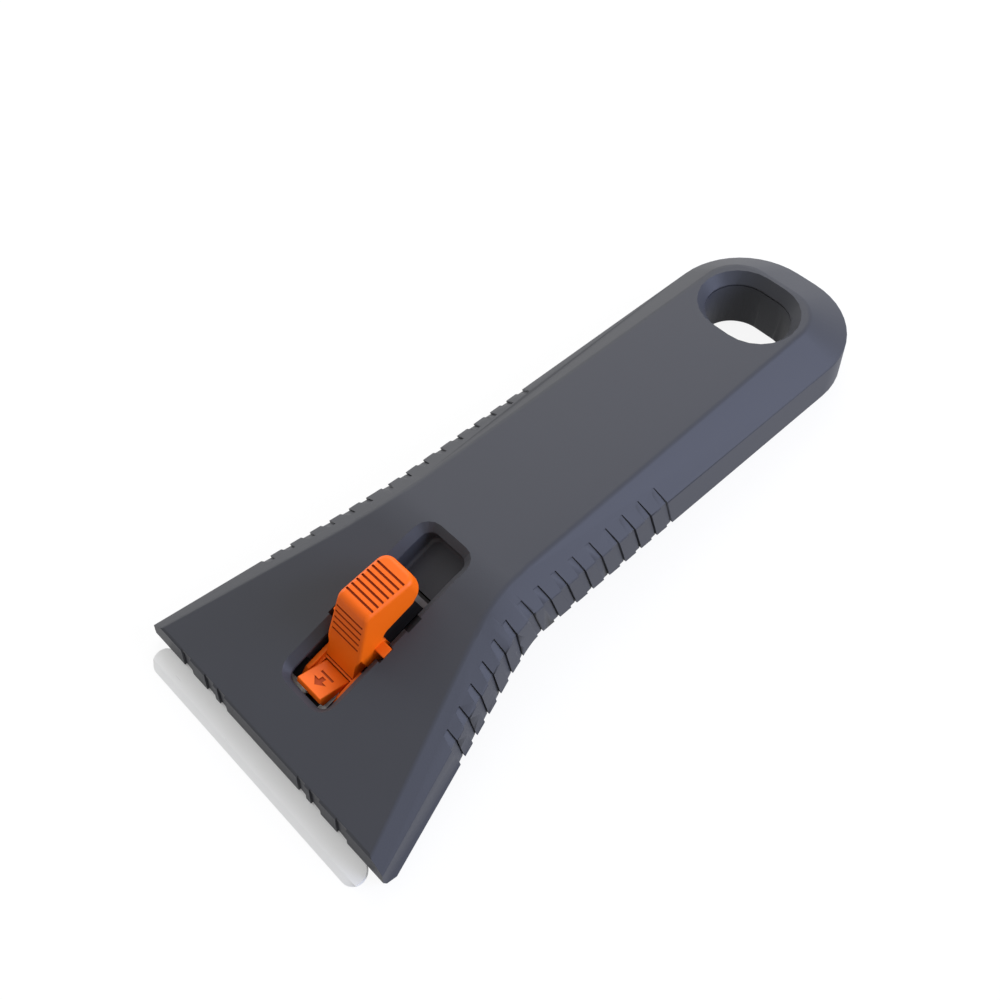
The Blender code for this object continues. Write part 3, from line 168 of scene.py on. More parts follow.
def dropSlivers(piece):
    # Cuts along a rounding leave faces with no area, which are merged away.
    editMesh(piece, "VERT", "SELECT")
    bpy.ops.mesh.remove_doubles(threshold=modelling["sliver"] * mm)
    bpy.ops.mesh.dissolve_degenerate(threshold=modelling["sliver"] * mm)
    bpy.ops.object.mode_set(mode="OBJECT")


def smooth(piece, angle=modelling["smoothTo"]):
    # Smooth shading over rounded edges, with the large faces kept flat.
    makeActive(piece)
    bpy.ops.object.shade_smooth_by_angle(angle=math.radians(angle))
    weighted = piece.modifiers.new("faces", "WEIGHTED_NORMAL")
    weighted.keep_sharp = True
    weighted.weight = modelling["faceWeight"]
    bpy.ops.object.modifier_apply(modifier="faces")


def copyOfNode(nodeName, pieceName):
    # The node's loose triangles, merged into one clean mesh of flat faces.
    piece = bpy.data.objects.new(pieceName, frame["nodes"][nodeName].data.copy())
    bpy.context.scene.collection.objects.link(piece)
    editMesh(piece, "VERT", "SELECT")
    bpy.ops.mesh.remove_doubles(threshold=modelling["mergeGap"] * mm)
    bpy.ops.mesh.dissolve_limited(angle_limit=math.radians(modelling["flatAngle"]),
                                  delimit={"NORMAL"})
    bpy.ops.object.mode_set(mode="OBJECT")
    return piece


def dress(piece, *materials):
    piece.data.materials.clear()
    for material in materials:
        piece.data.materials.append(material)


def finishPiece(piece, body, node):
    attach(piece, body)
    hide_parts(node)


# Materials
# The colour sockets of a Mix node share their names with others, so they go by number
mixFrom, mixTo, mixResult = 6, 7, 2


def colour(hexValue):
    # An sRGB hex colour as the linear values that the shader wants.
    channels = [int(hexValue[k:k + 2], 16) / 255 for k in (1, 3, 5)]
    linear = [c / 12.92 if c <= 0.04045 else ((c + 0.055) / 1.055) ** 2.4 for c in channels]
    return (*linear, 1.0)


def setInputs(tree, node, inputs):
    # An input is a value, or a link from another node's output.
    for name, value in inputs.items():
        if isinstance(value, bpy.types.NodeSocket):
            tree.links.new(value, node.inputs[name])
        else:
            node.inputs[name].default_value = value


def addNode(tree, kind, inputs=None, **settings):
    node = tree.nodes.new(kind)
    for name, value in settings.items():
        setattr(node, name, value)
    setInputs(tree, node, inputs or {})
    return node


def newMaterial(name):
    material = bpy.data.materials.new(name)
    material.use_nodes = True
    tree = material.node_tree
    return material, tree, tree.nodes["Principled BSDF"]


def mouldedPlastic(name, look):
    # Spark-eroded mould grain, a little colour drift from the flow of the melt, and handling gloss.
    material, tree, shader = newMaterial(name)
    place = addNode(tree, "ShaderNodeTexCoord").outputs["Object"]
    drift = addNode(tree, "ShaderNodeTexNoise",
                    {"Vector": place, "Scale": 1 / (look["driftSize"] * mm), "Detail": 3.0})
    tone = addNode(tree, "ShaderNodeMix",
                   {"Factor": drift.outputs["Fac"], mixFrom: colour(look["darkTone"]),
                    mixTo: colour(look["lightTone"])}, data_type="RGBA")
    gloss = addNode(tree, "ShaderNodeMapRange",
                    {"Value": drift.outputs["Fac"],
                     "To Min": look["roughness"] - look["roughnessSpread"],
                     "To Max": look["roughness"] + look["roughnessSpread"]})
    grain = addNode(tree, "ShaderNodeTexNoise",
                    {"Vector": place, "Scale": 1 / (look["grainSize"] * mm), "Detail": 2.0,
                     "Roughness": 0.6})
    pits = addNode(tree, "ShaderNodeTexVoronoi",
                   {"Vector": place, "Scale": 1 / (look["pitSize"] * mm), "Randomness": 1.0})
    height = addNode(tree, "ShaderNodeMath",
                     {0: grain.outputs["Fac"], 1: pits.outputs["Distance"]}, operation="ADD")
    bump = addNode(tree, "ShaderNodeBump",
                   {"Height": height.outputs["Value"], "Strength": look["grainStrength"],
                    "Distance": look["grainDepth"] * mm})
    setInputs(tree, shader,
              {"Base Color": tone.outputs[mixResult], "Roughness": gloss.outputs["Result"],
               "Normal": bump.outputs["Normal"], "IOR": look["ior"],
               "Specular IOR Level": look["specular"]})
    return material


# Glass-filled nylon from a spark-eroded mould: satin dark grey, a fine even grain and soft
# highlights. The real grain is about 0.05 mm; it is drawn at 0.25 mm so that it shows.
graphiteNylon = mouldedPlastic("graphiteNylon", {
    "darkTone": "#38393d", "lightTone": "#3d3e43", "driftSize": 30, "grainSize": 0.25,
    "pitSize": 0.4, "grainStrength": 0.25, "grainDepth": 0.02, "roughness": 0.5,
    "roughnessSpread": 0.04, "ior": 1.53, "specular": 0.2})
# Black acetal of the inner slide: self-lubricating, a little waxy, with faint drag marks.
blackAcetal = mouldedPlastic("blackAcetal", {
    "darkTone": "#1e1f22", "lightTone": "#26272b", "driftSize": 9, "grainSize": 0.3,
    "pitSize": 0.5, "grainStrength": 0.12, "grainDepth": 0.015, "roughness": 0.4,
    "roughnessSpread": 0.06, "ior": 1.48, "specular": 0.4})
# Orange ABS of the slider: bright, lightly polished mould, soft sheen.
orangeAbs = mouldedPlastic("orangeAbs", {
    "darkTone": "#e65f08", "lightTone": "#ee690e", "driftSize": 14, "grainSize": 0.22,
    "pitSize": 0.35, "grainStrength": 0.12, "grainDepth": 0.012, "roughness": 0.42,
    "roughnessSpread": 0.04, "ior": 1.54, "specular": 0.18})
# The same ABS in the grooves and the mark: dull, and darker as painted shade in these recesses.
orangeShadedRecess = mouldedPlastic("orangeShadedRecess", {
    "darkTone": "#a63c08", "lightTone": "#b4450b", "driftSize": 4, "grainSize": 0.1,
    "pitSize": 0.15, "grainStrength": 0.4, "grainDepth": 0.02, "roughness": 0.7,
    "roughnessSpread": 0.05, "ior": 1.54, "specular": 0.3})


def groundCeramic(name, look):
    # Fine parallel lines of a grinding wheel, on a tone that clouds a little.
    material, tree, shader = newMaterial(name)
    place = addNode(tree, "ShaderNodeTexCoord").outputs["Object"]
    cloud = addNode(tree, "ShaderNodeTexNoise",
                    {"Vector": place, "Scale": 1 / (look["cloudSize"] * mm), "Detail": 2.0})
    tone = addNode(tree, "ShaderNodeMix",
                   {"Factor": cloud.outputs["Fac"], mixFrom: colour(look["darkTone"]),
                    mixTo: colour(look["lightTone"])}, data_type="RGBA")
    lay = addNode(tree, "ShaderNodeMapping",
                  {"Vector": place, "Scale": tuple(1 / (size * mm) for size in look["lineSize"])})
    lines = addNode(tree, "ShaderNodeTexNoise",
                    {"Vector": lay.outputs["Vector"], "Scale": 1.0, "Detail": 2.0})
    gloss = addNode(tree, "ShaderNodeMapRange",
                    {"Value": lines.outputs["Fac"], "To Min": look["smoothest"],
                     "To Max": look["roughest"]})
    bump = addNode(tree, "ShaderNodeBump",
                   {"Height": lines.outputs["Fac"], "Strength": look["lineStrength"],
                    "Distance": look["lineDepth"] * mm})
    setInputs(tree, shader,
              {"Base Color": tone.outputs[mixResult], "Roughness": gloss.outputs["Result"],
               "Normal": bump.outputs["Normal"], "IOR": look["ior"]})
    return material


# Fired zirconia, ground along its length: white and dense, with a broad soft shine.
# The real grinding lines are about 0.02 mm apart; they are drawn at 0.35 mm so that they show.
groundZirconia = groundCeramic("groundZirconia", {
    "darkTone": "#e9e9e8", "lightTone": "#f0f0ef", "cloudSize": 9, "lineSize": (6, 0.35, 0.35),
    "lineStrength": 0.1, "lineDepth": 0.01, "smoothest": 0.24, "roughest": 0.38, "ior": 2.1})


def plainSteel(name, look):
    # The fine lines or the speckle that the last working leaves, in the tone and in the shine.
    material, tree, shader = newMaterial(name)
    place = addNode(tree, "ShaderNodeTexCoord").outputs["Object"]
    lay = addNode(tree, "ShaderNodeMapping",
                  {"Vector": place, "Scale": tuple(1 / (size * mm) for size in look["lineSize"])})
    lines = addNode(tree, "ShaderNodeTexNoise",
                    {"Vector": lay.outputs["Vector"], "Scale": 1.0, "Detail": 3.0})
    tone = addNode(tree, "ShaderNodeMix",
                   {"Factor": lines.outputs["Fac"], mixFrom: colour(look["darkTone"]),
                    mixTo: colour(look["lightTone"])}, data_type="RGBA")
    gloss = addNode(tree, "ShaderNodeMapRange",
                    {"Value": lines.outputs["Fac"], "To Min": look["smoothest"],
                     "To Max": look["roughest"]})
    setInputs(tree, shader,
              {"Base Color": tone.outputs[mixResult], "Roughness": gloss.outputs["Result"],
               "Metallic": 1.0})
    return material


# Rolled spring steel in its own tone, used only at the bar.
springSteel = plainSteel("springSteel", {
    "darkTone": "#67696d", "lightTone": "#77787c", "lineSize": (0.2, 4, 4),
    "smoothest": 0.28, "roughest": 0.42})
# The same steel darker over the rest of the strip: painted shade.
shadedSpringSteel = plainSteel("shadedSpringSteel", {
    "darkTone": "#202226", "lightTone": "#2c2e34", "lineSize": (0.2, 4, 4),
    "smoothest": 0.28, "roughest": 0.42})
# Cold-headed steel of the cover screws, tumbled bright, with a fine speckle.
screwSteel = plainSteel("screwSteel", {
    "darkTone": "#9fa1a5", "lightTone": "#b9babd", "lineSize": (0.3, 0.3, 2),
    "smoothest": 0.28, "roughest": 0.42})
print("materials made")

# Housing: the recesses in its front face run out at the blade, deepest at their left end, and
# a face is a top by the limits of its normal
topHousing = {
    "marks": ((11.69, 14.1), (15.5, 18.5), (23.38, 26.49)), "markHigh": -0.9, "markLow": -5.6,
    "face": 50.7, "faceSlope": 0.412, "markDeep": 0.55, "markShallow": 0.36, "markProud": 0.6,
    "pocketAside": 8.2, "topAcross": 0.02, "topFrom": -0.28, "topTo": 0.06, "topUp": 0.9,
    "smoothTo": 24}


def cutFrontMarks(housing, v):
    face = v["face"] - v["faceSlope"] * v["markHigh"]
    down = (-outwards - backwards * v["faceSlope"]) * (v["markHigh"] - v["markLow"]) * mm
    for near, far in v["marks"]:
        for left, right in ((near, far), (-far, -near)):
            outline = ((left, -v["markDeep"]), (right, -v["markShallow"]),
                       (right, v["markProud"]), (left, v["markProud"]))
            corners = [headPoint(x, face + proud, v["markHigh"]) for x, proud in outline]
            cut(housing, drawProfile("mark", corners, down))


def splitBeside(housing, aside):
    # Cuts the faces lengthways beside the pocket, so that its rim doesn't streak the bend.
    for side in (-1, 1):
        editMesh(housing, "EDGE", "SELECT")
        bpy.ops.mesh.bisect(plane_co=(side * aside * mm, 0, 0), plane_no=(1, 0, 0))
        bpy.ops.object.mode_set(mode="OBJECT")


def sharpenRim(housing, v):
    # The tops meet the rim of the slot and pocket at a crisp edge.
    def isTop(normal):
        return (abs(normal.x) < v["topAcross"] and v["topFrom"] < normal.y < v["topTo"]
                and normal.z > v["topUp"])

    topsBeside = {}
    for face in housing.data.polygons:
        for key in face.edge_keys:
            topsBeside[key] = topsBeside.get(key, 0) + isTop(face.normal)
    for edge in housing.data.edges:
        acrossEdge = [abs(housing.data.vertices[k].co.x) for k in edge.vertices]
        if topsBeside[edge.key] == 1 and max(acrossEdge) < v["pocketAside"] * mm:
            edge.use_edge_sharp = True


housing = copyOfNode("top_housing", "housingShell")
cutFrontMarks(housing, topHousing)
splitBeside(housing, topHousing["pocketAside"])
sharpenRim(housing, topHousing)
smooth(housing, topHousing["smoothTo"])
dress(housing, graphiteNylon)
finishPiece(housing, "housing", "top_housing")

# Cover: the lower mouth of its hanging eye is chamfered, square to the underside
baseCover = {
    "eyeFlat": 2.4, "eyeRadius": 8.0, "mouthChamfer": 1.3, "mouthLow": -0.3, "mouthTop": 2.0,
    "mouthSteps": 96, "mouthMiddle": (0, 62.52, 1.35), "mouthTilt": -3.46}


def chamferEye(cover, v):
    # The cutter is a cone, drawn apart at its middle to the eye's long shape.
    wide = v["eyeRadius"] + v["mouthChamfer"]
    radiusLow, radiusTop = wide - v["mouthLow"], wide - v["mouthTop"]
    deselectAll()
    bpy.ops.mesh.primitive_circle_add(vertices=v["mouthSteps"], radius=radiusLow * mm,
                                      fill_type="NGON", location=(0, 0, v["mouthLow"] * mm),
                                      rotation=(0, 0, math.pi / v["mouthSteps"]))
    cutter = bpy.context.object
    bpy.ops.object.transform_apply(location=True, rotation=True, scale=True)
    editMesh(cutter, "VERT", "SELECT")
    up = (0, 0, (v["mouthTop"] - v["mouthLow"]) * mm)
    bpy.ops.mesh.extrude_region_move(TRANSFORM_OT_translate={"value": up})
    narrowed = radiusTop / radiusLow
    bpy.ops.transform.resize(value=(narrowed, narrowed, 1), center_override=(0, 0, 0))
    bpy.ops.object.mode_set(mode="OBJECT")
    for vertex in cutter.data.vertices:
        vertex.co.x += math.copysign(v["eyeFlat"] * mm, vertex.co.x)
    bpy.ops.object.mode_set(mode="EDIT")
    pointOutwards()
    cutter.rotation_euler.x = math.radians(v["mouthTilt"])
    cutter.location = [place * mm for place in v["mouthMiddle"]]
    bpy.ops.object.transform_apply(location=True, rotation=True, scale=True)
    cut(cover, cutter)


cover = copyOfNode("base_cover", "coverShell")
chamferEye(cover, baseCover)
smooth(cover)
dress(cover, graphiteNylon)
finishPiece(cover, "housing", "base_cover")
print("shells made")

# Blade
blade = copyOfNode("ceramic_blade", "bladeGround")
smooth(blade)
dress(blade, groundZirconia)
finishPiece(blade, "slider", "ceramic_blade")

# Carrier, with a thin dark sheet each side laid just over the blade's tang: painted shade where the
# blade lies in shade beside the tongue
bladeCarrier = {
    "shadeInner": 3.75, "shadeOuter": 7.8, "shadeStep": 6.25, "shadeRear": 33.6, "stepRear": 34.0,
    "shadeFront": 38.3, "shadeLow": -5.56, "shadeThick": 0.2, "edge": 0.06, "edgeSteps": 2}


# Each sheet is a dark thing put over the blade where there is only shade.
def addShadeSheets(carrier, v):
    outline = ((v["shadeStep"], v["shadeRear"]), (v["shadeOuter"], v["shadeRear"]),
               (v["shadeOuter"], v["shadeFront"]), (v["shadeInner"], v["shadeFront"]),
               (v["shadeInner"], v["stepRear"]), (v["shadeStep"], v["stepRear"]))
    for side in (-1, 1):
        corners = [headPoint(side * x, s, v["shadeLow"]) for x, s in outline]
        cut(carrier, drawProfile("shadeSheet", corners, outwards * v["shadeThick"] * mm), "UNION")


carrier = copyOfNode("blade_carrier", "carrierSlide")
addShadeSheets(carrier, bladeCarrier)
roundEdges(carrier, bladeCarrier["edge"], bladeCarrier["edgeSteps"])
smooth(carrier)
dress(carrier, blackAcetal)
finishPiece(carrier, "slider", "blade_carrier")

# Spring: the strip keeps the steel's tone only at its bar, and the rest is painted shade
lockSpring = {"barRear": 9.6, "barFront": 11.1}
spring = copyOfNode("lock_spring", "springStrip")
smooth(spring)
dress(spring, springSteel, shadedSpringSteel)
# Faces off the bar take the darker steel, painted shade.
for face in spring.data.polygons:
    onBar = lockSpring["barRear"] < onHead(face.center)[1] < lockSpring["barFront"]
    face.material_index = 0 if onBar else 1
finishPiece(spring, "slider", "lock_spring")

# Rails: the tops fall away at the front, and a low web with two arms joins them between the
# button's foot and the tongue
sliderFrame = {
    "half": 6.0, "railTop": -3.9, "fallRear": 35.3, "fallFront": 37.9, "fallLow": -5.6,
    "overrun": 0.1, "webHalf": 4.6, "webRear": 30.85, "webFront": 31.35, "webTop": -4.7,
    "webLow": -5.25, "armInner": 3.8, "armRear": 30.95, "armTop": -4.75, "edge": 0.12,
    "edgeSteps": 2}


def shapeRails(rails, v):
    over = v["railTop"] + v["overrun"]
    fall = [(v["fallRear"], over), (v["fallRear"], v["railTop"]), (v["fallFront"], v["fallLow"]),
            (v["fallFront"], over)]
    cut(rails, drawAcross("fall", fall, -v["half"], v["half"]))
    web = oblong(v["webRear"], v["webFront"], v["webLow"], v["webTop"])
    cut(rails, drawAcross("web", web, -v["webHalf"], v["webHalf"]), "UNION")
    arm = oblong(v["armRear"], v["fallRear"], v["webLow"], v["armTop"])
    cut(rails, drawAcross("arm", arm, -v["webHalf"], -v["armInner"]), "UNION")
    cut(rails, drawAcross("arm", arm, v["armInner"], v["webHalf"]), "UNION")
    roundEdges(rails, v["edge"], v["edgeSteps"])
    dropSlivers(rails)


rails = copyOfNode("slider_frame", "sliderRails")
shapeRails(rails, sliderFrame)
smooth(rails)
dress(rails, orangeAbs)
finishPiece(rails, "slider", "slider_frame")

# Cover screws, with a crossed recess for the driver
coverScrew = {"count": 4, "recessLength": 2.2, "recessWidth": 0.5, "recessDepth": 0.5, "lift": 0.2}


def cutRecess(screw, v):
    outside = max(screw.data.polygons, key=lambda face: -face.normal.z * face.area)
    middle = outside.center.copy()
    out = outside.normal.copy()
    side = out.cross(Vector((0, 1, 0))).normalized()
    for along, across in ((side, out.cross(side)), (out.cross(side), side)):
        corners = []
        for i, j in ((-1, -1), (1, -1), (1, 1), (-1, 1)):
            away = (along * i * v["recessLength"] / 2 + across * j * v["recessWidth"] / 2
                    + out * v["lift"])
            corners.append(middle + away * mm)
        cut(screw, drawProfile("recess", corners, -out * (v["recessDepth"] + v["lift"]) * mm))


for k in range(1, coverScrew["count"] + 1):
    screw = copyOfNode(f"cover_screw_{k}", f"coverScrew{k}")
    cutRecess(screw, coverScrew)
    smooth(screw)
    dress(screw, screwSteel)
    finishPiece(screw, "housing", f"cover_screw_{k}")
print("slide and screws made")

# Thumb button: a side view drawn out across, tapered upwards, rounded, narrowed at its foot,
# then grooved; the last three values tell its edges apart
thumbButton = {
    "rear": 8.0, "rearTop": 7.0, "rearLow": 3.0, "ridge": 20.4, "ridgeHeight": 9.65,
    "faceFoot": 30.7, "faceFootHeight": -4.3, "footRear": 20.5, "footHeight": -4.8,
    "shelfRear": 11.8, "shelfHeight": 1.0, "halfWidth": 5.3, "topHalfWidth": 4.4,
    "rearCornerRadius": 2.4, "rearCornerSteps": 7, "ridgeRadius": 1.2, "ridgeSteps": 5,
    "shelfRadius": 1.5, "shelfSteps": 6, "edgeRadius": 1.0, "edgeSteps": 4,
    "topGrooves": 7, "topGrooveFirst": 18.4, "topPitch": 1.29, "topGrooveHalf": 4.0,
    "faceGrooves": 5, "faceGrooveFirst": 22.15, "facePitch": 0.94, "faceGrooveHalf": 3.9,
    "grooveWidth": 0.5, "grooveDepth": 0.55, "grooveFloor": 0.4, "grooveMouth": 0.55,
    "neckHalf": 4.1, "neckRear": 26.9, "neckTop": 0.8, "neckLow": -1.2, "neckLead": 0.1,
    "overrun": 1, "smoothTo": 35, "near": 0.1, "lengthwaysTo": 0.5, "acrossFrom": 1}


def drawButton(v):
    half = v["halfWidth"]
    sideView = [(v["rear"], v["rearLow"]), (v["rear"], v["rearTop"]),
                (v["ridge"], v["ridgeHeight"]), (v["faceFoot"], v["faceFootHeight"]),
                (v["faceFoot"], v["footHeight"]), (v["footRear"], v["footHeight"]),
                (v["footRear"], v["shelfHeight"]), (v["shelfRear"], v["shelfHeight"])]
    button = drawAcross("thumbButton", sideView, -half, half)
    for vertex in button.data.vertices:
        x, s, h = onHead(vertex.co)
        share = max(0.0, h) / v["ridgeHeight"]
        width = half + (v["topHalfWidth"] - half) * share
        vertex.co = headPoint(math.copysign(width, x), s, h)
    return button


def roundButton(button, v):
    def isAt(end, s, h):
        return abs(end[1] - s) < v["near"] and abs(end[2] - h) < v["near"]

    def isAcross(a, b):
        return abs(a[0] - b[0]) > v["acrossFrom"]

    def isRearCorner(a, b):
        return (abs(a[0] - b[0]) < v["lengthwaysTo"]
                and max(a[1], b[1]) < v["rear"] + v["near"])

    def isRidge(a, b):
        return isAcross(a, b) and all(isAt(end, v["ridge"], v["ridgeHeight"]) for end in (a, b))

    def isShelf(a, b):
        return isAcross(a, b) and all(isAt(end, v["footRear"], v["shelfHeight"]) for end in (a, b))

    def isOuter(a, b):
        return (min(a[2], b[2]) > v["faceFootHeight"] - v["near"]
                and not (isAcross(a, b) and a[2] < 0))

    selectEdges(button, isRearCorner)
    bpy.ops.mesh.bevel(offset=v["rearCornerRadius"] * mm, segments=v["rearCornerSteps"],
                       clamp_overlap=True)
    selectEdges(button, isRidge)
    bpy.ops.mesh.bevel(offset=v["ridgeRadius"] * mm, segments=v["ridgeSteps"])
    selectEdges(button, isShelf)
    bpy.ops.mesh.bevel(offset=v["shelfRadius"] * mm, segments=v["shelfSteps"])
    selectEdges(button, isOuter, modelling["roundFrom"])
    bpy.ops.mesh.bevel(offset=v["edgeRadius"] * mm, segments=v["edgeSteps"])
    bpy.ops.object.mode_set(mode="OBJECT")


def neckButton(button, v):
    # The foot is narrowed each side, to go down between the rails.
    outer, low = v["halfWidth"] + v["overrun"], v["footHeight"] - v["overrun"]
    outline = ((v["neckHalf"], low), (v["neckHalf"], v["neckLow"]),
               (v["halfWidth"] + v["neckLead"], v["neckTop"]), (outer, v["neckTop"]), (outer, low))
    forwards = -backwards * (v["faceFoot"] + v["overrun"] - v["neckRear"]) * mm
    for side in (-1, 1):
        corners = [headPoint(side * x, v["neckRear"], h) for x, h in outline]
        cut(button, drawProfile("neck", corners, forwards))


def makeGroove(place, slope, half, v):
    # A cutter across the button, square to the face it cuts, with sides that open upwards.
    along = Vector((math.cos(slope), math.sin(slope)))
    out = Vector((-along.y, along.x))
    floor, mouth = v["grooveFloor"], v["grooveMouth"]
    outline = [place + along * side * width * v["grooveWidth"] + out * level * v["grooveDepth"]
               for side, level, width in ((-1, -1, floor), (1, -1, floor),
                                          (1, 1, mouth), (-1, 1, mouth))]
    groove = drawAcross("groove", outline, -half, half)
    # The groove's faces take the darker orange, painted shade in the groove.
    dress(groove, orangeShadedRecess)
    return groove


def grooveButton(button, v):
    rear = Vector((v["rear"], v["rearTop"]))
    ridge = Vector((v["ridge"], v["ridgeHeight"]))
    foot = Vector((v["faceFoot"], v["faceFootHeight"]))
    rows = ((v["topGrooves"], v["topGrooveFirst"], -v["topPitch"], rear, ridge,
             v["topGrooveHalf"]),
            (v["faceGrooves"], v["faceGrooveFirst"], v["facePitch"], ridge, foot,
             v["faceGrooveHalf"]))
    for count, first, pitch, start, end, half in rows:
        slope = math.atan2(end.y - start.y, end.x - start.x)
        for k in range(count):
            s = first + pitch * k
            place = start.lerp(end, (s - start.x) / (end.x - start.x))
            cut(button, makeGroove(place, slope, half, v))


button = drawButton(thumbButton)
roundButton(button, thumbButton)
# The second finish, the darker orange, is painted shade for the faces that the grooves cut.
dress(button, orangeAbs, orangeShadedRecess)
neckButton(button, thumbButton)
grooveButton(button, thumbButton)
dropSlivers(button)
smooth(button, thumbButton["smoothTo"])
finishPiece(button, "button", "thumb_button")
print("button made")

# Lock lugs: a block each side, which comes out of the button's flank level with the head's top
lockLugs = {
    "rear": 21.0, "front": 23.45, "inner": 4.6, "outer": 7.9, "top": 0.0, "low": -2.0,
    "edge": 0.3, "edgeSteps": 3}


def makeLug(name, left, right, v):
    lug = drawAcross(name, oblong(v["rear"], v["front"], v["low"], v["top"]), left, right)
    roundEdges(lug, v["edge"], v["edgeSteps"])
    smooth(lug)
    return lug


lugs = makeLug("lockLugs", lockLugs["inner"], lockLugs["outer"], lockLugs)
cut(lugs, makeLug("lugLeft", -lockLugs["outer"], -lockLugs["inner"], lockLugs), "UNION")
dress(lugs, orangeAbs)
finishPiece(lugs, "button", "lock_lugs")
print("lugs made")

# Release tongue: a sloping pad with a nose and a hook, and a plain arrow over a bar sunk in it
releaseTongue = {
    "root": 31.5, "rootTop": -5.0, "rootLow": -5.85, "tip": 37.65, "tipHeight": -1.05,
    "nose": 38.45, "noseHeight": -2.0, "side": 3.3, "halfWidth": 3.55, "edge": 0.22,
    "edgeSteps": 3, "heelPlace": 33.9, "kneePlace": 34.6, "kneeHeight": -5.25,
    "hookRear": 37.7, "hookHalf": 1.8, "hookLow": -6.5, "hookRise": 0.5, "hookSetBack": 0.1,
    "markDepth": 0.28, "markMiddle": 35.2, "arrowHalf": 1.8, "arrowLength": 1.5,
    "stemHalf": 0.55, "stemLength": 1.0, "barGap": 0.5, "barLength": 0.5}


def makeTongue(v):
    under = v["tipHeight"] - v["side"]
    pad = [(v["root"], v["rootLow"]), (v["root"], v["rootTop"]), (v["tip"], v["tipHeight"]),
           (v["nose"], v["noseHeight"]), (v["nose"], under), (v["hookRear"], under),
           (v["kneePlace"], v["kneeHeight"]), (v["heelPlace"], v["rootLow"])]
    tongue = drawAcross("releaseTongue", pad, -v["halfWidth"], v["halfWidth"])
    roundEdges(tongue, v["edge"], v["edgeSteps"])
    hook = oblong(v["hookRear"], v["nose"] - v["hookSetBack"], v["hookLow"], under + v["hookRise"])
    cut(tongue, drawAcross("hook", hook, -v["hookHalf"], v["hookHalf"]), "UNION")
    return tongue


def markTongue(tongue, v):
    # The arrow points forward, over a bar across.
    slope = Vector((v["tip"] - v["root"], v["tipHeight"] - v["rootTop"])).normalized()
    out = Vector((-slope.y, slope.x))
    middle = Vector((v["root"], v["rootTop"])) + slope * ((v["markMiddle"] - v["root"]) / slope.x)

    def sunk(x, along):
        place = middle + slope * along - out * v["markDepth"]
        return headPoint(x, place.x, place.y)

    rise = (outwards * out.y * 2 * v["markDepth"] * mm
            - backwards * out.x * 2 * v["markDepth"] * mm)
    low = -v["stemLength"]
    arrow = ((-v["stemHalf"], low), (v["stemHalf"], low), (v["stemHalf"], 0), (v["arrowHalf"], 0),
             (0, v["arrowLength"]), (-v["arrowHalf"], 0), (-v["stemHalf"], 0))
    barTop = low - v["barGap"]
    barLow = barTop - v["barLength"]
    bar = ((-v["arrowHalf"], barLow), (v["arrowHalf"], barLow), (v["arrowHalf"], barTop),
           (-v["arrowHalf"], barTop))
    for outline in (arrow, bar):
        mark = drawProfile("mark", [sunk(x, along) for x, along in outline], rise)
        # The mark's faces take the darker orange, painted shade in the sunk mark.
        dress(mark, orangeShadedRecess)
        cut(tongue, mark)


tongue = makeTongue(releaseTongue)
# The second finish, the darker orange, is painted shade for the sunk mark's faces.
dress(tongue, orangeAbs, orangeShadedRecess)
markTongue(tongue, releaseTongue)
smooth(tongue)
finishPiece(tongue, "tongue", "release_tongue")
print("tongue made")

# Stage, lamps and camera; the stage's fibre is in millimetres, and the rest in metres and watts
stage = {
    "floorSize": 4.0, "floorTone": "#ffffff", "bounceTone": "#9a9a9a", "floorWhite": 0.9,
    "floorRoughness": 0.9, "fibreSize": 0.8, "fibreDepth": 0.02, "fibreStrength": 0.05,
    "worldLight": 0.58, "worldWhite": 1.0}


def seenRays(tree):
    # 1 for the rays that show the white ground, straight, mirrored or through glass, and else 0.
    path = addNode(tree, "ShaderNodeLightPath")
    seen = addNode(tree, "ShaderNodeMath",
                   {0: path.outputs["Is Camera Ray"], 1: path.outputs["Is Glossy Ray"]},
                   operation="MAXIMUM")
    shown = addNode(tree, "ShaderNodeMath",
                    {0: seen.outputs["Value"], 1: path.outputs["Is Transmission Ray"]},
                    operation="MAXIMUM")
    return shown.outputs["Value"]


def whitePaper():
    # Matt white paper with a faint fibre; the light that it throws back on the tool is held down.
    material, tree, shader = newMaterial("whitePaper")
    shown = seenRays(tree)
    tone = addNode(tree, "ShaderNodeMix",
                   {"Factor": shown, mixFrom: colour(stage["bounceTone"]),
                    mixTo: colour(stage["floorTone"])}, data_type="RGBA")
    place = addNode(tree, "ShaderNodeTexCoord").outputs["Object"]
    fibre = addNode(tree, "ShaderNodeTexNoise",
                    {"Vector": place, "Scale": 1 / (stage["fibreSize"] * mm)})
    bump = addNode(tree, "ShaderNodeBump",
                   {"Height": fibre.outputs["Fac"], "Strength": stage["fibreStrength"],
                    "Distance": stage["fibreDepth"] * mm})
    setInputs(tree, shader,
              {"Base Color": tone.outputs[mixResult], "Normal": bump.outputs["Normal"],
               "Roughness": stage["floorRoughness"]})
    share = addNode(tree, "ShaderNodeMath", {0: shown, 1: stage["floorWhite"]},
                    operation="MULTIPLY")
    white = addNode(tree, "ShaderNodeEmission", {"Color": (1, 1, 1, 1), "Strength": 1.0})
    mixed = addNode(tree, "ShaderNodeMixShader",
                    {"Fac": share.outputs["Value"], 1: shader.outputs["BSDF"],
                     2: white.outputs["Emission"]})
    setInputs(tree, tree.nodes["Material Output"], {"Surface": mixed.outputs["Shader"]})
    return material


def makeFloor():
    deselectAll()
    bpy.ops.mesh.primitive_plane_add(size=stage["floorSize"], location=(0, 0, 0))
    floor = bpy.context.object
    floor.name = "floor"
    dress(floor, whitePaper())


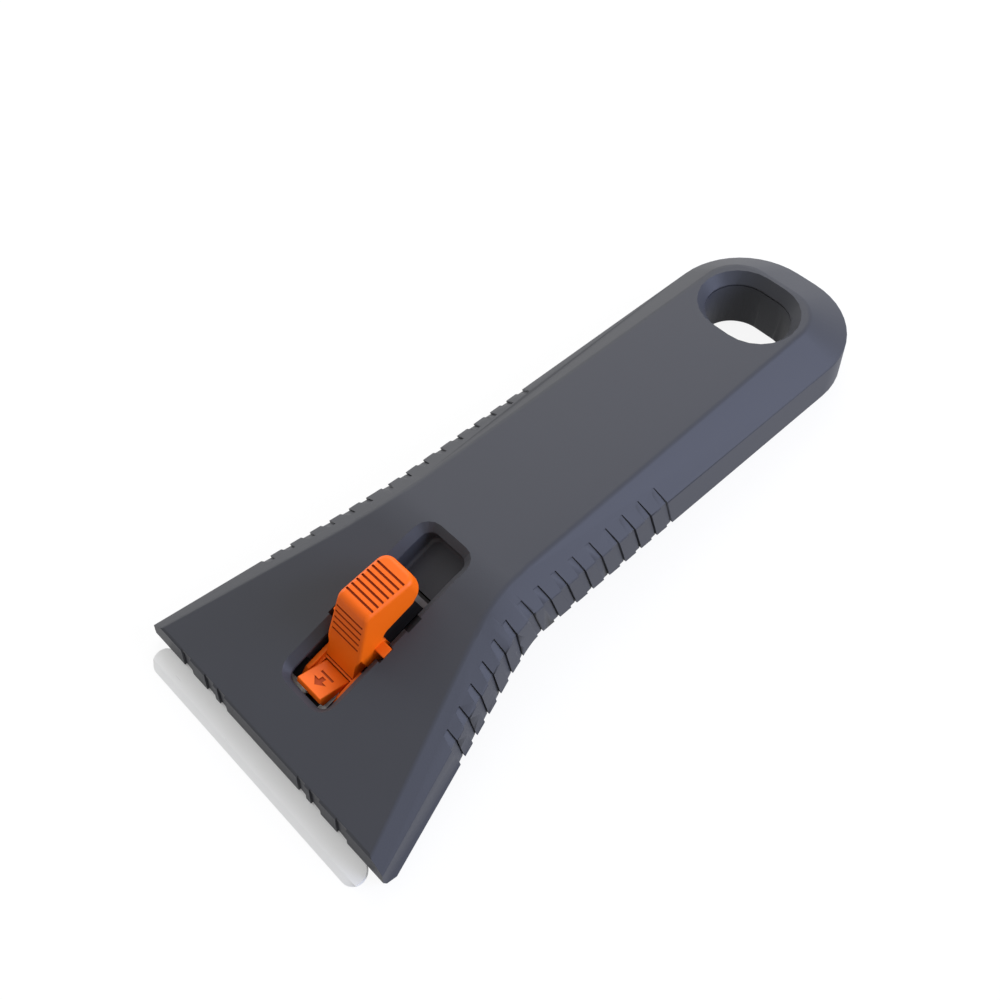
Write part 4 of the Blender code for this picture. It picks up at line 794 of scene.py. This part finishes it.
def makeWorld():
    world = bpy.data.worlds.new("studio")
    bpy.context.scene.world = world
    world.use_nodes = True
    tree = world.node_tree
    tree.nodes.clear()
    level = addNode(tree, "ShaderNodeMapRange",
                    {"Value": seenRays(tree), "To Min": stage["worldLight"],
                     "To Max": stage["worldWhite"]})
    background = addNode(tree, "ShaderNodeBackground",
                         {"Color": (1, 1, 1, 1), "Strength": level.outputs["Result"]})
    addNode(tree, "ShaderNodeOutputWorld", {"Surface": background.outputs["Background"]})


lamps = {
    "backLeftBox": {"place": (-0.50, 0.75, 0.65), "size": 0.7, "power": 3.6, "tone": "#ffffff"},
    "rightBox": {"place": (0.80, 0.50, 0.45), "size": 0.6, "power": 13, "tone": "#ced9ff"},
    "leftBox": {"place": (-0.90, 0.10, 0.40), "size": 0.6, "power": 4, "tone": "#ffffff"},
    "upperBox": {"place": (-0.45, 0.48, 0.88), "size": 0.5, "power": 1.7, "tone": "#ffffff"}}
lampAim = Vector((0, 0, 0.01))   # the middle of the tool


def makeLamp(name, v):
    # A soft box: a lamp with a broad square face, turned to the tool.
    lamp = bpy.data.lights.new(name, "AREA")
    lamp.shape = "SQUARE"
    lamp.size = v["size"]
    lamp.energy = v["power"]
    lamp.color = colour(v["tone"])[:3]
    holder = bpy.data.objects.new(name, lamp)
    bpy.context.scene.collection.objects.link(holder)
    holder.location = v["place"]
    holder.rotation_euler = (lampAim - Vector(v["place"])).to_track_quat("-Z", "Y").to_euler()


# The camera's turn is in degrees; its lens and film width are in millimetres
camera = {
    "place": (0.1160125, -0.1051857, 0.2347176), "turn": (34.3809, 3.5438, 46.7223),
    "lens": 46.06, "filmWidth": 36.0, "nearest": 0.01}


def makeCamera(v):
    data = bpy.data.cameras.new("photoView")
    data.lens = v["lens"]
    data.sensor_fit = "HORIZONTAL"
    data.sensor_width = v["filmWidth"]
    data.clip_start = v["nearest"]
    holder = bpy.data.objects.new("photoView", data)
    bpy.context.scene.collection.objects.link(holder)
    holder.location = v["place"]
    holder.rotation_euler = [math.radians(angle) for angle in v["turn"]]
    bpy.context.scene.camera = holder


makeFloor()
makeWorld()
for name, lamp in lamps.items():
    makeLamp(name, lamp)
makeCamera(camera)
bpy.context.scene.view_settings.view_transform = "Standard"
print("stage made")
